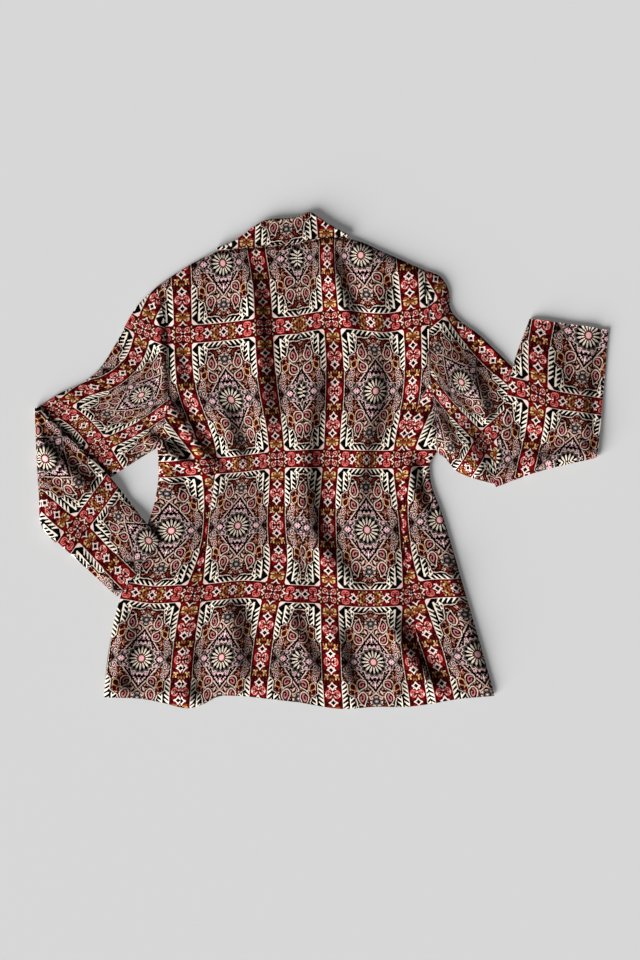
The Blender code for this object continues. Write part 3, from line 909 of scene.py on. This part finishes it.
def side_back_grid(side):
    """Side back panel, from its point at the armhole to the hem."""
    outer = chain(seam(side, "armhole_lower", FINE), seam(side, "side", FINE))
    inner = seam(side, "princess", FINE)
    tip = [tuple(outer[0] + TIP_SHARE * (line[FINE] - outer[0])) for line in (outer, inner)]
    outer, inner = blunted(outer, tip[0]), blunted(inner, tip[1])
    hem = HEM_LEFT if side == "left" else HEM_RIGHT[::-1]
    across = SIDE_BACK_ACROSS * FINE
    plan = patch(smooth_curve(tip, across), smooth_curve(hem, across), outer, inner)
    draw_in(plan[:, 0], plan[:, 1], SEAM_GAP / 2)
    draw_in(plan[:, -1], plan[:, -2], SEAM_GAP / 2)
    return with_height(plan, back_height(plan)), plan


def blunted(line, start):
    """A line whose first stretch is drawn up to a new first point."""
    stretch = np.linspace(0.0, 1.0, FINE + 1)[:, None]
    return np.concatenate([(1 - stretch) * np.array(start) + stretch * line[FINE], line[FINE + 1:]])


def front_grid(side):
    """Front panel, flat on the surface, from the side seam to the centre front."""
    outer = chain(armhole(side, FRONT_FINE), seam(side, "side", FRONT_FINE))
    centre = smooth_curve(CENTRE_FRONT, len(outer) - 1)
    across = FRONT_ACROSS * FRONT_FINE
    top = smooth_curve(SEAMS[side]["shoulder"] + SEAMS[side]["front_neck"][1:], across)
    hem = smooth_curve(SEAMS[side]["front_hem"], across)
    outer[-1], centre[-1] = hem[0], hem[-1]
    plan = patch(top, hem, outer, centre)
    draw_in(plan[:, 0], plan[:, 1], FRONT_EDGE_IN)
    draw_in(plan[:, -1], plan[:, -2], SEAM_GAP / 2)
    draw_in(plan[0], plan[1], FRONT_EDGE_IN)
    return with_height(plan, FLOOR_LAYER), plan


def sleeve_grid(side, half):
    """One half of a sleeve: upper arm, round the fold at the elbow, then the forearm."""
    top, fold, cuff = armhole(side, FINE), seam(side, "fold", FINE), seam(side, "cuff", FINE)
    arm = patch(top, fold, seam(side, "shoulder_edge", FINE), seam(side, "underarm_edge", FINE))
    forearm = patch(
        fold, cuff, seam(side, "forearm_shoulder_edge", FINE), seam(side, "forearm_underarm_edge", FINE)
    )
    draw_in(arm[0], arm[1], SEAM_GAP / 2 if half == "back" else FRONT_EDGE_IN)
    roll = ELBOW_ROLL
    arm_height = back_height(arm)
    forearm_middle = forearm_height(forearm, side)
    if half == "front":
        roll += CLOTH + LAYER_GAP
        arm_height = FLOOR_LAYER
        forearm_middle = forearm_middle + CLOTH + LAYER_GAP + forearm_crown(forearm)
    along = (fold[-1] - fold[0]) / np.linalg.norm(fold[-1] - fold[0])
    outward = np.array([along[1], -along[0]])
    outward *= np.sign(outward @ (fold.mean(0) - top.mean(0)))
    turns = np.linspace(0.0, pi, ROLL_CELLS + 1)[1:-1]
    rolled = [
        with_height(fold + outward * roll * np.sin(turn), BACK_LAYER + ELBOW_ROLL - roll * np.cos(turn))
        for turn in turns
    ]
    grid = np.concatenate([with_height(arm, arm_height), rolled, with_height(forearm, forearm_middle)])
    turned = np.array([fold + outward * roll * (turn if half == "back" else turn - pi) for turn in turns])
    if half == "back":
        flat = np.concatenate([arm, turned, mirrored(forearm, fold[0], along) + outward * roll * pi])
    else:
        flat = np.concatenate([mirrored(arm, fold[0], along) - outward * roll * pi, turned, forearm])
    return grid, flat


def mirrored(plan, point, along):
    """Plan points turned over about a line."""
    offset = plan - point
    return point + 2 * (offset @ along)[..., None] * along - offset


def forearm_crown(forearm):
    """Rise of the upper layer of a forearm above the lower one, from its two long edges."""
    width = np.linalg.norm(forearm[:, -1] - forearm[:, 0], axis=-1)[:, None]
    u = np.linspace(0.0, 1.0, forearm.shape[1])[None, :]
    gap = np.minimum(u, 1 - u) * width
    from_fold = np.linalg.norm(forearm - forearm[:1], axis=-1)
    creases = crease_rise(forearm, FOREARM_CREASES) + drape_rise(forearm, FOREARM_DRAPES)
    creases += uneven_rise(forearm)
    crown = FOREARM_CROWN * ease(gap / FOREARM_RUN) + FOREARM_LOFT * rounded(gap / EDGE_ROLL)
    return np.maximum(crown + creases * ease(gap / CREASE_RUN) * ease(from_fold / CREASE_RUN), 0.0)


def collar_grid():
    """Turned-down collar: stand up from the neck seam, round the fold, and the fall over the back neck."""
    neck, fold, fall = (collar_line(name, FINE) for name in ("neck", "fold", "fall"))
    outward = fold - fall
    outward /= np.linalg.norm(outward, axis=-1, keepdims=True)
    base = back_height(fold)
    rise = 2 * COLLAR_LIFT
    rows, flat = [], []
    for t in np.linspace(0.0, 1.0, STAND_CELLS + 1):
        row = neck + t * (fold - neck)
        rows.append(with_height(row, back_height(row)))
        flat.append(2 * fold - row + outward * pi * COLLAR_ROLL)
    for turn in np.linspace(0.0, pi, ROLL_CELLS + 1)[1:-1]:
        row = fold + outward * COLLAR_ROLL * np.sin(turn)
        rows.append(with_height(row, base + COLLAR_LIFT * (1 - np.cos(turn))))
        flat.append(fold + outward * (pi - turn) * COLLAR_ROLL)
    for t in np.linspace(0.0, 1.0, FALL_CELLS + 1):
        row = fold + t * (fall - fold)
        left = 1 - rounded(np.linalg.norm(row - fold, axis=-1) / EDGE_ROLL)
        rows.append(with_height(row, back_height(row) + FALL_CLEARANCE + left * (rise - FALL_CLEARANCE)))
        flat.append(row)
    return np.array(rows), np.array(flat)


def spline_basis(gap):
    """Thin-plate spline of a distance."""
    return gap**2 * np.log(gap**2 + TINY)


def spread(places, values, plan):
    """Values at any plan point, smoothly from those at a few places."""
    places = np.array(places, float) / CELL_W
    plan = plan.reshape(-1, 2) / CELL_W
    count = len(places)
    system = np.zeros((count + 3, count + 3))
    system[:count, :count] = spline_basis(np.linalg.norm(places[:, None] - places[None], axis=-1))
    system[:count, :count] += RUN_EASE * np.eye(count)
    system[:count, count:] = np.column_stack([np.ones(count), places])
    system[count:, :count] = system[:count, count:].T
    weights = np.linalg.solve(system, np.concatenate([values, np.zeros(3)]))
    bend = spline_basis(np.linalg.norm(plan[:, None] - places[None], axis=-1)) @ weights[:count]
    return bend + weights[count] + plan @ weights[count + 1:]


def pattern_run(name, flat):
    """Place of each point of a flat piece in the pattern: across and along, counted in repeats."""
    if name not in PATTERN_RUN:
        return flat.reshape(-1, 2) / (CELL_W, CELL_H)
    run = PATTERN_RUN[name]
    found = []
    for axis, bands in enumerate((run["lengthwise"], run["crosswise"])):
        places = [place for number, line in bands.items() for place in line]
        values = [number for number, line in bands.items() for _ in line]
        places += list(run["daisies"].values())
        values += [number[axis] for number in run["daisies"]]
        found.append(spread(places, values, flat))
    return np.column_stack(found)


def unit(vectors):
    return vectors / np.maximum(np.linalg.norm(vectors, axis=-1, keepdims=True), TINY)


def cloth_shell(name, grid, run):
    """A closed shell of the cloth's thickness round a grid of points, with the pattern's run as UV map."""
    rows, columns = grid.shape[:2]
    normal = unit(np.cross(np.gradient(grid, axis=1), np.gradient(grid, axis=0)))
    number = np.arange(rows * columns).reshape(rows, columns)
    loop = np.concatenate([number[0, :-1], number[:-1, -1], number[-1, :0:-1], number[:0:-1, 0]])
    inner_row, inner_column = (np.clip(np.arange(count), 1, count - 2) for count in (rows, columns))
    inner = inner_row[:, None] * columns + inner_column
    points = grid.reshape(-1, 3)
    outward = unit(points[loop] - points[inner.reshape(-1)[loop]])
    half = normal.reshape(-1, 3) * CLOTH / 2
    rim = points[loop] + outward * RIM_BULGE
    count = rows * columns
    vertices = np.concatenate([points + half, points - half, rim]) * MM
    corners = (number[:-1, :-1], number[1:, :-1], number[1:, 1:], number[:-1, 1:])
    quads = np.stack([corner.reshape(-1) for corner in corners], axis=1)
    following = np.roll(loop, -1)
    edge = 2 * count + np.arange(len(loop))
    next_edge = np.roll(edge, -1)
    upper_rim = np.stack([loop, following, next_edge, edge], axis=1)
    lower_rim = np.stack([edge, next_edge, following + count, loop + count], axis=1)
    faces = np.concatenate([quads[:, ::-1], quads + count, upper_rim, lower_rim])
    mesh = bpy.data.meshes.new(name)
    mesh.from_pydata(vertices.tolist(), [], faces.tolist())
    places = np.concatenate([run, run, run[loop]])
    uv = places[faces.reshape(-1)].astype(np.float32).reshape(-1)
    mesh.uv_layers.new(name="cloth").data.foreach_set("uv", uv)
    mesh.shade_smooth()
    mesh.validate()
    piece = bpy.data.objects.new(name, mesh)
    bpy.context.scene.collection.objects.link(piece)
    return piece


class Value:
    """A number worked out by shader nodes: arithmetic on it adds nodes."""

    def __init__(self, socket):
        self.socket = socket

    def __add__(self, other):
        return math_node("ADD", self, other)

    def __sub__(self, other):
        return math_node("SUBTRACT", self, other)

    def __rsub__(self, other):
        return math_node("SUBTRACT", other, self)

    def __mul__(self, other):
        return math_node("MULTIPLY", self, other)

    __radd__ = __add__
    __rmul__ = __mul__


def math_node(operation, *terms):
    """A Math node over values and plain numbers."""
    tree = next(term.socket.id_data for term in terms if isinstance(term, Value))
    node = tree.nodes.new("ShaderNodeMath")
    node.operation = operation
    for socket, term in zip(node.inputs, terms):
        if isinstance(term, Value):
            tree.links.new(term.socket, socket)
        else:
            socket.default_value = term
    return Value(node.outputs[0])


# Arithmetic of shader values by name
absolute = partial(math_node, "ABSOLUTE")
fract = partial(math_node, "FRACT")
root = partial(math_node, "SQRT")
sine = partial(math_node, "SINE")
angle = partial(math_node, "ARCTAN2")
smaller = partial(math_node, "MINIMUM")
larger = partial(math_node, "MAXIMUM")
less = partial(math_node, "LESS_THAN")
greater = partial(math_node, "GREATER_THAN")


def clamped(value):
    return smaller(larger(value, 0.0), 1.0)


def near(value, place, half):
    """1 within half of a place, else 0."""
    return less(absolute(value - place), half)


def length(u, v):
    return root(u * u + v * v)


def off_spoke(u, v, count, start):
    """Turn from the nearest of some spokes round a middle, 0 on it and 0.5 between two."""
    return absolute(fract(angle(v, u) * (count / (2 * pi)) + start) - 0.5)


def blend(share, a, b):
    """a where share is 0, b where it is 1."""
    tree = share.socket.id_data
    node = tree.nodes.new("ShaderNodeMix")
    for socket, term in zip((node.inputs[0], node.inputs[2], node.inputs[3]), (share, a, b)):
        if isinstance(term, Value):
            tree.links.new(term.socket, socket)
        else:
            socket.default_value = term
    return Value(node.outputs[0])


def grain(x, y, pitch):
    """An uneven number from 0 to 1 for each small square of the pattern."""
    tree = x.socket.id_data
    place = tree.nodes.new("ShaderNodeCombineXYZ")
    for socket, term in zip(place.inputs, (x, y)):
        tree.links.new(math_node("FLOOR", term * (1 / pitch)).socket, socket)
    speck = tree.nodes.new("ShaderNodeTexWhiteNoise")
    speck.noise_dimensions = "2D"
    tree.links.new(place.outputs["Vector"], speck.inputs["Vector"])
    return Value(speck.outputs["Value"])


class Paint:
    """The yarn that shows at each point, as its number; later motifs cover earlier ones."""

    def __init__(self, value):
        self.value = value

    def put(self, mask, yarn):
        self.value = blend(mask, self.value, float(YARN_NUMBER[yarn]))

    def sprinkle(self, mask, specks, yarns):
        for share, yarn in yarns:
            self.put(mask * greater(specks, share), yarn)


def oval(x, y, row):
    """Place in an oval motif, across and along it, 1 at its edge."""
    motif = dict(zip(OVAL_COLUMNS, row))
    c, s = cos(radians(motif["tilt"])), sin(radians(motif["tilt"]))
    across, along = motif["across"], motif["along"]
    u = x * (c / across) + (y * (s / across) - (motif["x"] * c + motif["y"] * s) / across)
    v = y * (c / along) - (x * (s / along) + (motif["y"] * c - motif["x"] * s) / along)
    return u, v


def paint_curl(paint, x, y, row):
    """A paisley with a bent tip: its ground, an outline, and a spiral on a dark core."""
    motif = dict(zip(OVAL_COLUMNS, row))
    u, v = oval(x, y, row)
    tip = larger(v, 0.0)
    u = (u + tip * tip * motif["bend"]) * (v * CURL_TAPER + (v * v * CURL_POINT + 1.0))
    q = length(u, v)
    paint.put(less(q, CURL_GROUND), motif["ground"])
    paint.put(near(q, CURL_LINE, CURL_LINE_HALF), motif["line"])
    paint.put(less(length(u, v + CURL_LOW), CURL_CORE), "maroon")
    u, v = (u - CURL_ASIDE * motif["turn"]) * motif["turn"], v + CURL_LOW / 2
    spiral = fract(angle(v, u) * (1 / (2 * pi)) + CURL_START) * CURL_GROWTH + CURL_EYE
    paint.put(near(length(u, v), spiral, CURL_SPIRAL), motif["inside"])


def paint_drop(paint, x, y, row):
    motif = dict(zip(OVAL_COLUMNS, row))
    q = length(*oval(x, y, row))
    for reach, part in DROP_RINGS:
        paint.put(less(q, reach), motif[part])


def paint_floret(paint, x, y, row):
    """Four small petals in a diamond."""
    place = dict(zip(FLORET_COLUMNS, row))
    u, v = absolute(x - place["x"]), absolute(y - place["y"])
    d = (u + v) * (1 / place["size"])
    paint.put(less(d, HALO), "black")
    paint.put(less(d, 1.0), "pink")
    paint.put(less(smaller(u, v), FLORET_SLIT) * near(d, *FLORET_SLIT_SPAN), "black")


def swaying(main, other, wave):
    """A wave along one way of the cloth that sways with the other."""
    turn, sway, sway_turn = wave
    return sine(main * turn + sine(other * sway_turn) * sway)


def paint_ground(paint, x, y, specks):
    """Specks and thin scrolls of the dark field, with a warm patch."""
    paint.sprinkle(1.0, specks, FIELD_SPECKS)
    scroll = near(swaying(x, y, SCROLL_ACROSS) + swaying(y, x, SCROLL_ALONG), 0.0, SCROLL_HALF)
    paint.put(scroll, "rust")
    paint.put(scroll * greater(specks, SCROLL_PALE), "grey")
    paint.sprinkle(less(length(*oval(x, y, WARM_GROUND)), 1.0), specks, WARM_SPECKS)


def paint_strip(paint, x, y):
    """Dark strip at the side of the field, with a wavy line."""
    strip = greater(x, STRIP_FROM) * less(y, STRIP_BELOW)
    paint.put(strip, "black")
    wave = x - sine(y * STRIP_LINE["turn"]) * STRIP_LINE["swing"]
    paint.put(strip * near(wave, STRIP_FROM + STRIP_LINE["in"], STRIP_LINE["half"]), "silver")


def paint_rosette(paint, x, y):
    u, v = oval(x, y, ROSETTE)
    q = length(u, v)
    spoke = off_spoke(u, v, ROSETTE_PETALS, ROSETTE_START)
    paint.put(less(q, ROSETTE_GROUND), "black")
    paint.put(less(q + spoke * ROSETTE_DENT, ROSETTE_EDGE), "slate")
    paint.put(near(q, *ROSETTE_RING), "black")
    paint.put(near(q, *ROSETTE_RIM) * less(spoke, ROSETTE_RIM_SPAN), "grey")
    paint.put(less(q, ROSETTE_EYE), "pink")


def paint_spade(paint, x, y):
    spade = x * (1 / SPADE_ACROSS) + absolute(y - SPADE_AT) * (1 / SPADE_ALONG)
    slit, half = SPADE_SLIT
    paint.put(less(spade, HALO), "black")
    paint.put(less(spade, 1.0) * greater(absolute(x - slit), half), "pink")
    paint.put(less(spade, SPADE_HEART), "cream")


def paint_field(paint, x, y):
    """The dark field round the daisy: scrolls, a lozenge, paisleys, drops and small flowers."""
    specks = grain(x, y, FIELD_SPECK)
    paint_ground(paint, x, y, specks)
    lozenge = x * (1 / LOZENGE_ACROSS) + y * (1 / LOZENGE_ALONG)
    inner = less(lozenge, 1.0)
    paint.put(inner, "black")
    paint.sprinkle(inner, specks, LOZENGE_SPECKS)
    paint.put(near(lozenge, *LOZENGE_EDGE), "black")
    paint.put(near(lozenge, *LOZENGE_LINE), "grey")
    beyond = y - TOP_FORK["from"]
    fork = near(beyond, x * TOP_FORK["slope"], TOP_FORK["half"])
    paint.put(fork * less(x, TOP_FORK["reach"]) * greater(beyond, TOP_FORK["start"]), "grey")
    for row in CURLS:
        paint_curl(paint, x, y, row)
    paint.put(near(lozenge, *LOZENGE_SIDE_LINE) * less(y, SIDE_LINE_BELOW), "slate")
    beyond = x - SIDE_FORK["from"]
    paint.put(near(y, beyond * SIDE_FORK["slope"], SIDE_FORK["half"]) * greater(beyond, 0.0), "slate")
    paint_strip(paint, x, y)
    for row in DROPS:
        paint_drop(paint, x, y, row)
    paint_rosette(paint, x, y)
    paint_spade(paint, x, y)
    for row in FLORETS:
        paint_floret(paint, x, y, row)


def paint_daisy(paint, a, b, x, y):
    """A daisy of long petals in the middle of the cell, with a row of outlined dark petals behind them."""
    r = length(x, y * DAISY_SQUEEZE)
    petal = off_spoke(a, b * DAISY_SQUEEZE, DAISY_PETALS, 0.5)
    paint.put(less(r, DAISY_GROUND), "black")
    scallop = r + (0.5 - petal) * SCALLOP_DEPTH
    for reach, yarn in SCALLOPS:
        paint.put(near(scallop, reach, SCALLOP_HALF), yarn)
    half = PETAL_HALF - absolute(r - PETAL_WIDEST) * PETAL_TAPER
    span = greater(r, PETAL_FROM) * less(r + petal * PETAL_ROUND, PETAL_TO)
    paint.put(less(petal, half) * span, "cream")
    paint.put(less(petal, VEIN_HALF) * near(r, *VEIN), "olive")
    for reach, yarn in DAISY_EYE:
        paint.put(less(r, reach), yarn)


def paint_comb(paint, mask, reach, along, broad):
    """Slanting barbs, broad at the edge they grow from and pointed at the other end."""
    barb = absolute(fract((along + reach * COMB_SLANT) * (1 / COMB_PITCH)) - 0.5)
    paint.put(mask * less(reach, COMB_REACH) * less(barb, broad - reach * COMB_TAPER), "cream")


def past_field(x, y):
    """Distance outside the stepped, wavy outline of the field, mm."""
    half_h = clamped((FIELD_TIP_HALF - x) * FIELD_TIP_STEEP) * FIELD_TIP + FIELD_END
    half_w = FIELD_END_HALF
    for row in FIELD_STEPS:
        step = dict(zip(FIELD_STEP_COLUMNS, row))
        half_w = half_w + clamped((step["below"] - y) * step["steep"]) * step["wider"]
    return larger(y - half_h, x - half_w) + sine((x - y) * RIM_TURN) * RIM_SWING


def paint_ferns(paint, x, y):
    """Rim of the field, and cream combs and spikes on black in the four corners outside it."""
    past = past_field(x, y)
    for depth, yarn in FIELD_RIM:
        paint.put(greater(past, depth), yarn)
    outside = greater(past, 0.0)
    reach = COMB_SIDE - x
    paint_comb(paint, outside * less(y + reach * COMB_SLANT, COMB_BELOW), reach, y, SIDE_BROAD)
    reach = COMB_END - y
    paint_comb(paint, outside * less(x - reach, END_COMB_WITHIN), reach, END_COMB_START - x, END_BROAD)
    for row in SPIKES:
        spike = dict(zip(SPIKE_COLUMNS, row))
        reach = spike["x"] - x
        above = clamped((y - spike["from"]) * SPIKE_TAPER)
        stem = outside * less(y, SPIKE_TOP) * greater(y, spike["from"])
        paint.put(stem * less(absolute(reach), above * spike["broad"] + SPIKE_HALF), "cream")
        paint_comb(paint, stem * greater(reach, 0.0), reach, y, END_BROAD)


def paint_cell_edge(paint, x, y):
    """Pale line round the cell, with cut-off corners."""
    half_w, half_h = CELL_W / 2 - BAND, CELL_H / 2 - BAND
    gap = smaller(half_w - x, half_h - y)
    corner = half_w + half_h - x - y
    ends = greater(y, EDGE_LINE_ABOVE)
    line = less(smaller(gap, (corner - INNER_CHAMFER) * CHAMFER_SLOPE), EDGE_LINE)
    paint.put(line * ends, "blush")
    paint.put(less(gap, DARK_EDGE) * (1.0 - ends), "black")
    paint.put(less(smaller(gap, (corner - CHAMFER) * CHAMFER_SLOPE), 0.0), "maroon")


def paint_crossing(paint, crossing, cx, cy, specks):
    """Where two bands cross: four ringed petals and rays round a dark heart."""
    q = length(*oval(cx, cy, CROSSING_PETAL))
    petal = crossing * less(q, 1.0)
    paint.put(crossing, "maroon")
    paint.sprinkle(crossing, specks, CROSSING_SPECKS)
    paint.put(petal, "coral")
    paint.sprinkle(petal, specks, CROSSING_PETAL_SPECKS)
    paint.put(crossing * near(q, *CROSSING_RING), "maroon")
    paint.put(crossing * near(cx - cy, *CROSSING_RAY) * less(cx + cy, CROSSING_RAY_REACH), "blush")
    paint.put(crossing * less(cx + cy, CROSSING_HEART), "black")


def paint_bands(paint, x, y):
    """Red bands between the cells: stars, with pairs of coral and olive wings by turns between them."""
    cx, cy = absolute(x - CELL_W / 2), absolute(y - CELL_H / 2)
    lengthwise, crosswise = less(cx, BAND), less(cy, BAND)
    band = larger(lengthwise, crosswise)
    c = blend(lengthwise, cy, cx)
    w = blend(lengthwise, x * (1 / CROSS_STARS) + 0.5, y * (1 / LONG_STARS))
    specks = grain(x, y, BAND_SPECK)
    rim = band * greater(c, BAND - BAND_RIM)
    paint.put(band, "black")
    paint.sprinkle(band, specks, BAND_SPECKS)
    paint.put(rim, "maroon")
    paint.sprinkle(rim, specks, BAND_RIM_SPECKS)
    star = absolute(fract(w) - 0.5) * LONG_STARS
    middle = LONG_STARS / 2 - star
    even = near(fract(w * 0.5), 0.5, 0.25)
    wing = less(length(*oval(c, middle, WING)), 1.0) * band
    wing = wing * greater(length(*oval(c, middle, WING_NOTCH)), 1.0)
    coral = wing * (1.0 - even)
    warm = band * even * less(length(*oval(c, middle, WARM_BAND)), 1.0)
    paint.put(warm, "maroon")
    paint.sprinkle(warm, specks, WARM_BAND_SPECKS)
    paint.put(coral, "coral")
    paint.sprinkle(coral, specks, CORAL_WING_SPECKS)
    paint.put(coral * near(length(*oval(c, middle, WING_SWIRL)), *SWIRL_LINE), "maroon")
    paint.sprinkle(wing * even, specks, WARM_WING_SPECKS)
    points = star + c + smaller(star, c) * STAR_NOTCH
    for reach, yarn in STAR_RINGS:
        paint.put(band * less(points, reach), yarn)
    paint.put(band * less(star + c, STAR_HEART), "black")
    paint_crossing(paint, lengthwise * crosswise, cx, cy, specks)


def carpet(across, along):
    """Number of the yarn that shows at a place of the pattern."""
    a = math_node("SNAP", (fract(across) - 0.5) * CELL_W, THREAD)
    b = math_node("SNAP", (fract(along) - 0.5) * CELL_H, THREAD)
    x, y = absolute(a), absolute(b)
    paint = Paint(x * 0.0 + float(YARN_NUMBER["field"]))
    paint_field(paint, x, y)
    paint_daisy(paint, a, b, x, y)
    paint_ferns(paint, x, y)
    paint_cell_edge(paint, x, y)
    paint_bands(paint, x, y)
    return paint.value


def linear(colour):
    """A screen colour as light, red, green, blue and alpha."""
    return tuple((part / 255) ** SCREEN_GAMMA for part in colour) + (1.0,)


def figured_cloth():
    """The cloth of the whole jacket."""
    material = bpy.data.materials.new("figured_cloth")
    material.use_nodes = True
    tree = material.node_tree
    shader = tree.nodes["Principled BSDF"]
    place = tree.nodes.new("ShaderNodeUVMap")
    place.uv_map = "cloth"
    split = tree.nodes.new("ShaderNodeSeparateXYZ")
    tree.links.new(place.outputs["UV"], split.inputs["Vector"])
    across, along = Value(split.outputs["X"]), Value(split.outputs["Y"])
    number = carpet(across, along)
    share = (number + 0.5) * (1 / len(YARNS))
    ramp = tree.nodes.new("ShaderNodeValToRGB")
    ramp.color_ramp.interpolation = "CONSTANT"
    elements = ramp.color_ramp.elements
    elements.remove(elements[1])
    for name, colour in YARNS.items():
        position = YARN_NUMBER[name] / len(YARNS)
        element = elements[0] if position == 0 else elements.new(position)
        element.color = linear(colour)
    tree.links.new(share.socket, ramp.inputs["Fac"])
    tree.links.new(ramp.outputs["Color"], shader.inputs["Base Color"])
    warp = sine(across * (2 * pi * CELL_W / (2 * THREAD)))
    weft = sine(along * (2 * pi * CELL_H / (2 * THREAD)))
    bump = tree.nodes.new("ShaderNodeBump")
    bump.inputs["Strength"].default_value = WEAVE_STRENGTH
    bump.inputs["Distance"].default_value = WEAVE_DEPTH
    tree.links.new((warp * weft).socket, bump.inputs["Height"])
    tree.links.new(bump.outputs["Normal"], shader.inputs["Normal"])
    shader.inputs["Roughness"].default_value = CLOTH_ROUGHNESS
    shader.inputs["Specular IOR Level"].default_value = CLOTH_SHINE
    return material


def sheet_piece(name, grid, flat, material, rests_on):
    """One piece of cloth in place of its solid."""
    piece = cloth_shell(name + "_cloth", grid, pattern_run(name, flat))
    piece.data.materials.append(material)
    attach(piece, "root")
    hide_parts(name)
    return piece


def build_jacket():
    material = figured_cloth()
    for side in SEAMS:
        front, sleeve = "front_" + side, "sleeve_" + side
        sheet_piece(front, *front_grid(side), material, ["floor"])
        sheet_piece("back_" + side, *back_grid(side), material, [front])
        sheet_piece("side_back_" + side, *side_back_grid(side), material, [front])
        sheet_piece(sleeve + "_front", *sleeve_grid(side, "front"), material, ["floor", sleeve + "_back"])
        sheet_piece(sleeve + "_back", *sleeve_grid(side, "back"), material, [sleeve + "_front"])
    sheet_piece("collar", *collar_grid(), material, ["back_left", "back_right"])


def build_floor():
    mesh = bpy.data.meshes.new("floor")
    corners = [(x * FLOOR_HALF, y * FLOOR_HALF, 0) for x, y in ((-1, -1), (1, -1), (1, 1), (-1, 1))]
    mesh.from_pydata(corners, [], [(0, 1, 2, 3)])
    floor = bpy.data.objects.new("floor", mesh)
    bpy.context.scene.collection.objects.link(floor)
    material = bpy.data.materials.new("glowing_floor_paper")
    material.use_nodes = True
    shader = material.node_tree.nodes["Principled BSDF"]
    shader.inputs["Base Color"].default_value = (FLOOR_SHADE, FLOOR_SHADE, FLOOR_SHADE, 1.0)
    # The floor glows a little: painted light, not a lamp, that lifts the shadows cast on it
    shader.inputs["Emission Color"].default_value = (1.0, 1.0, 1.0, 1.0)
    shader.inputs["Emission Strength"].default_value = FLOOR_GLOW
    shader.inputs["Roughness"].default_value = FLOOR_ROUGHNESS
    shader.inputs["Specular IOR Level"].default_value = FLOOR_SHINE
    mesh.materials.append(material)


def build_key():
    """One broad light from the lower left of the picture."""
    data = bpy.data.lights.new("key", "SUN")
    data.energy = KEY_POWER
    data.angle = KEY_BREADTH
    light = bpy.data.objects.new("key", data)
    light.rotation_euler = (-Vector(KEY_FROM)).to_track_quat("-Z", "Y").to_euler()
    bpy.context.scene.collection.objects.link(light)


def build_studio():
    build_floor()
    build_key()
    world = bpy.data.worlds.new("studio")
    world.use_nodes = True
    world.node_tree.nodes["Background"].inputs["Color"].default_value = (1.0, 1.0, 1.0, 1.0)
    world.node_tree.nodes["Background"].inputs["Strength"].default_value = FILL
    bpy.context.scene.world = world
    bpy.context.scene.view_settings.view_transform = "Standard"


def build_camera():
    data = bpy.data.cameras.new("camera")
    data.sensor_fit = "VERTICAL"
    data.sensor_height = SENSOR
    data.angle_y = 2 * atan(FRAME_HEIGHT / 2 / CAMERA_HEIGHT)
    camera = bpy.data.objects.new("camera", data)
    camera.location = (*FRAME_CENTRE, CAMERA_HEIGHT)
    bpy.context.scene.collection.objects.link(camera)
    bpy.context.scene.camera = camera


build_camera()
build_studio()
build_jacket()
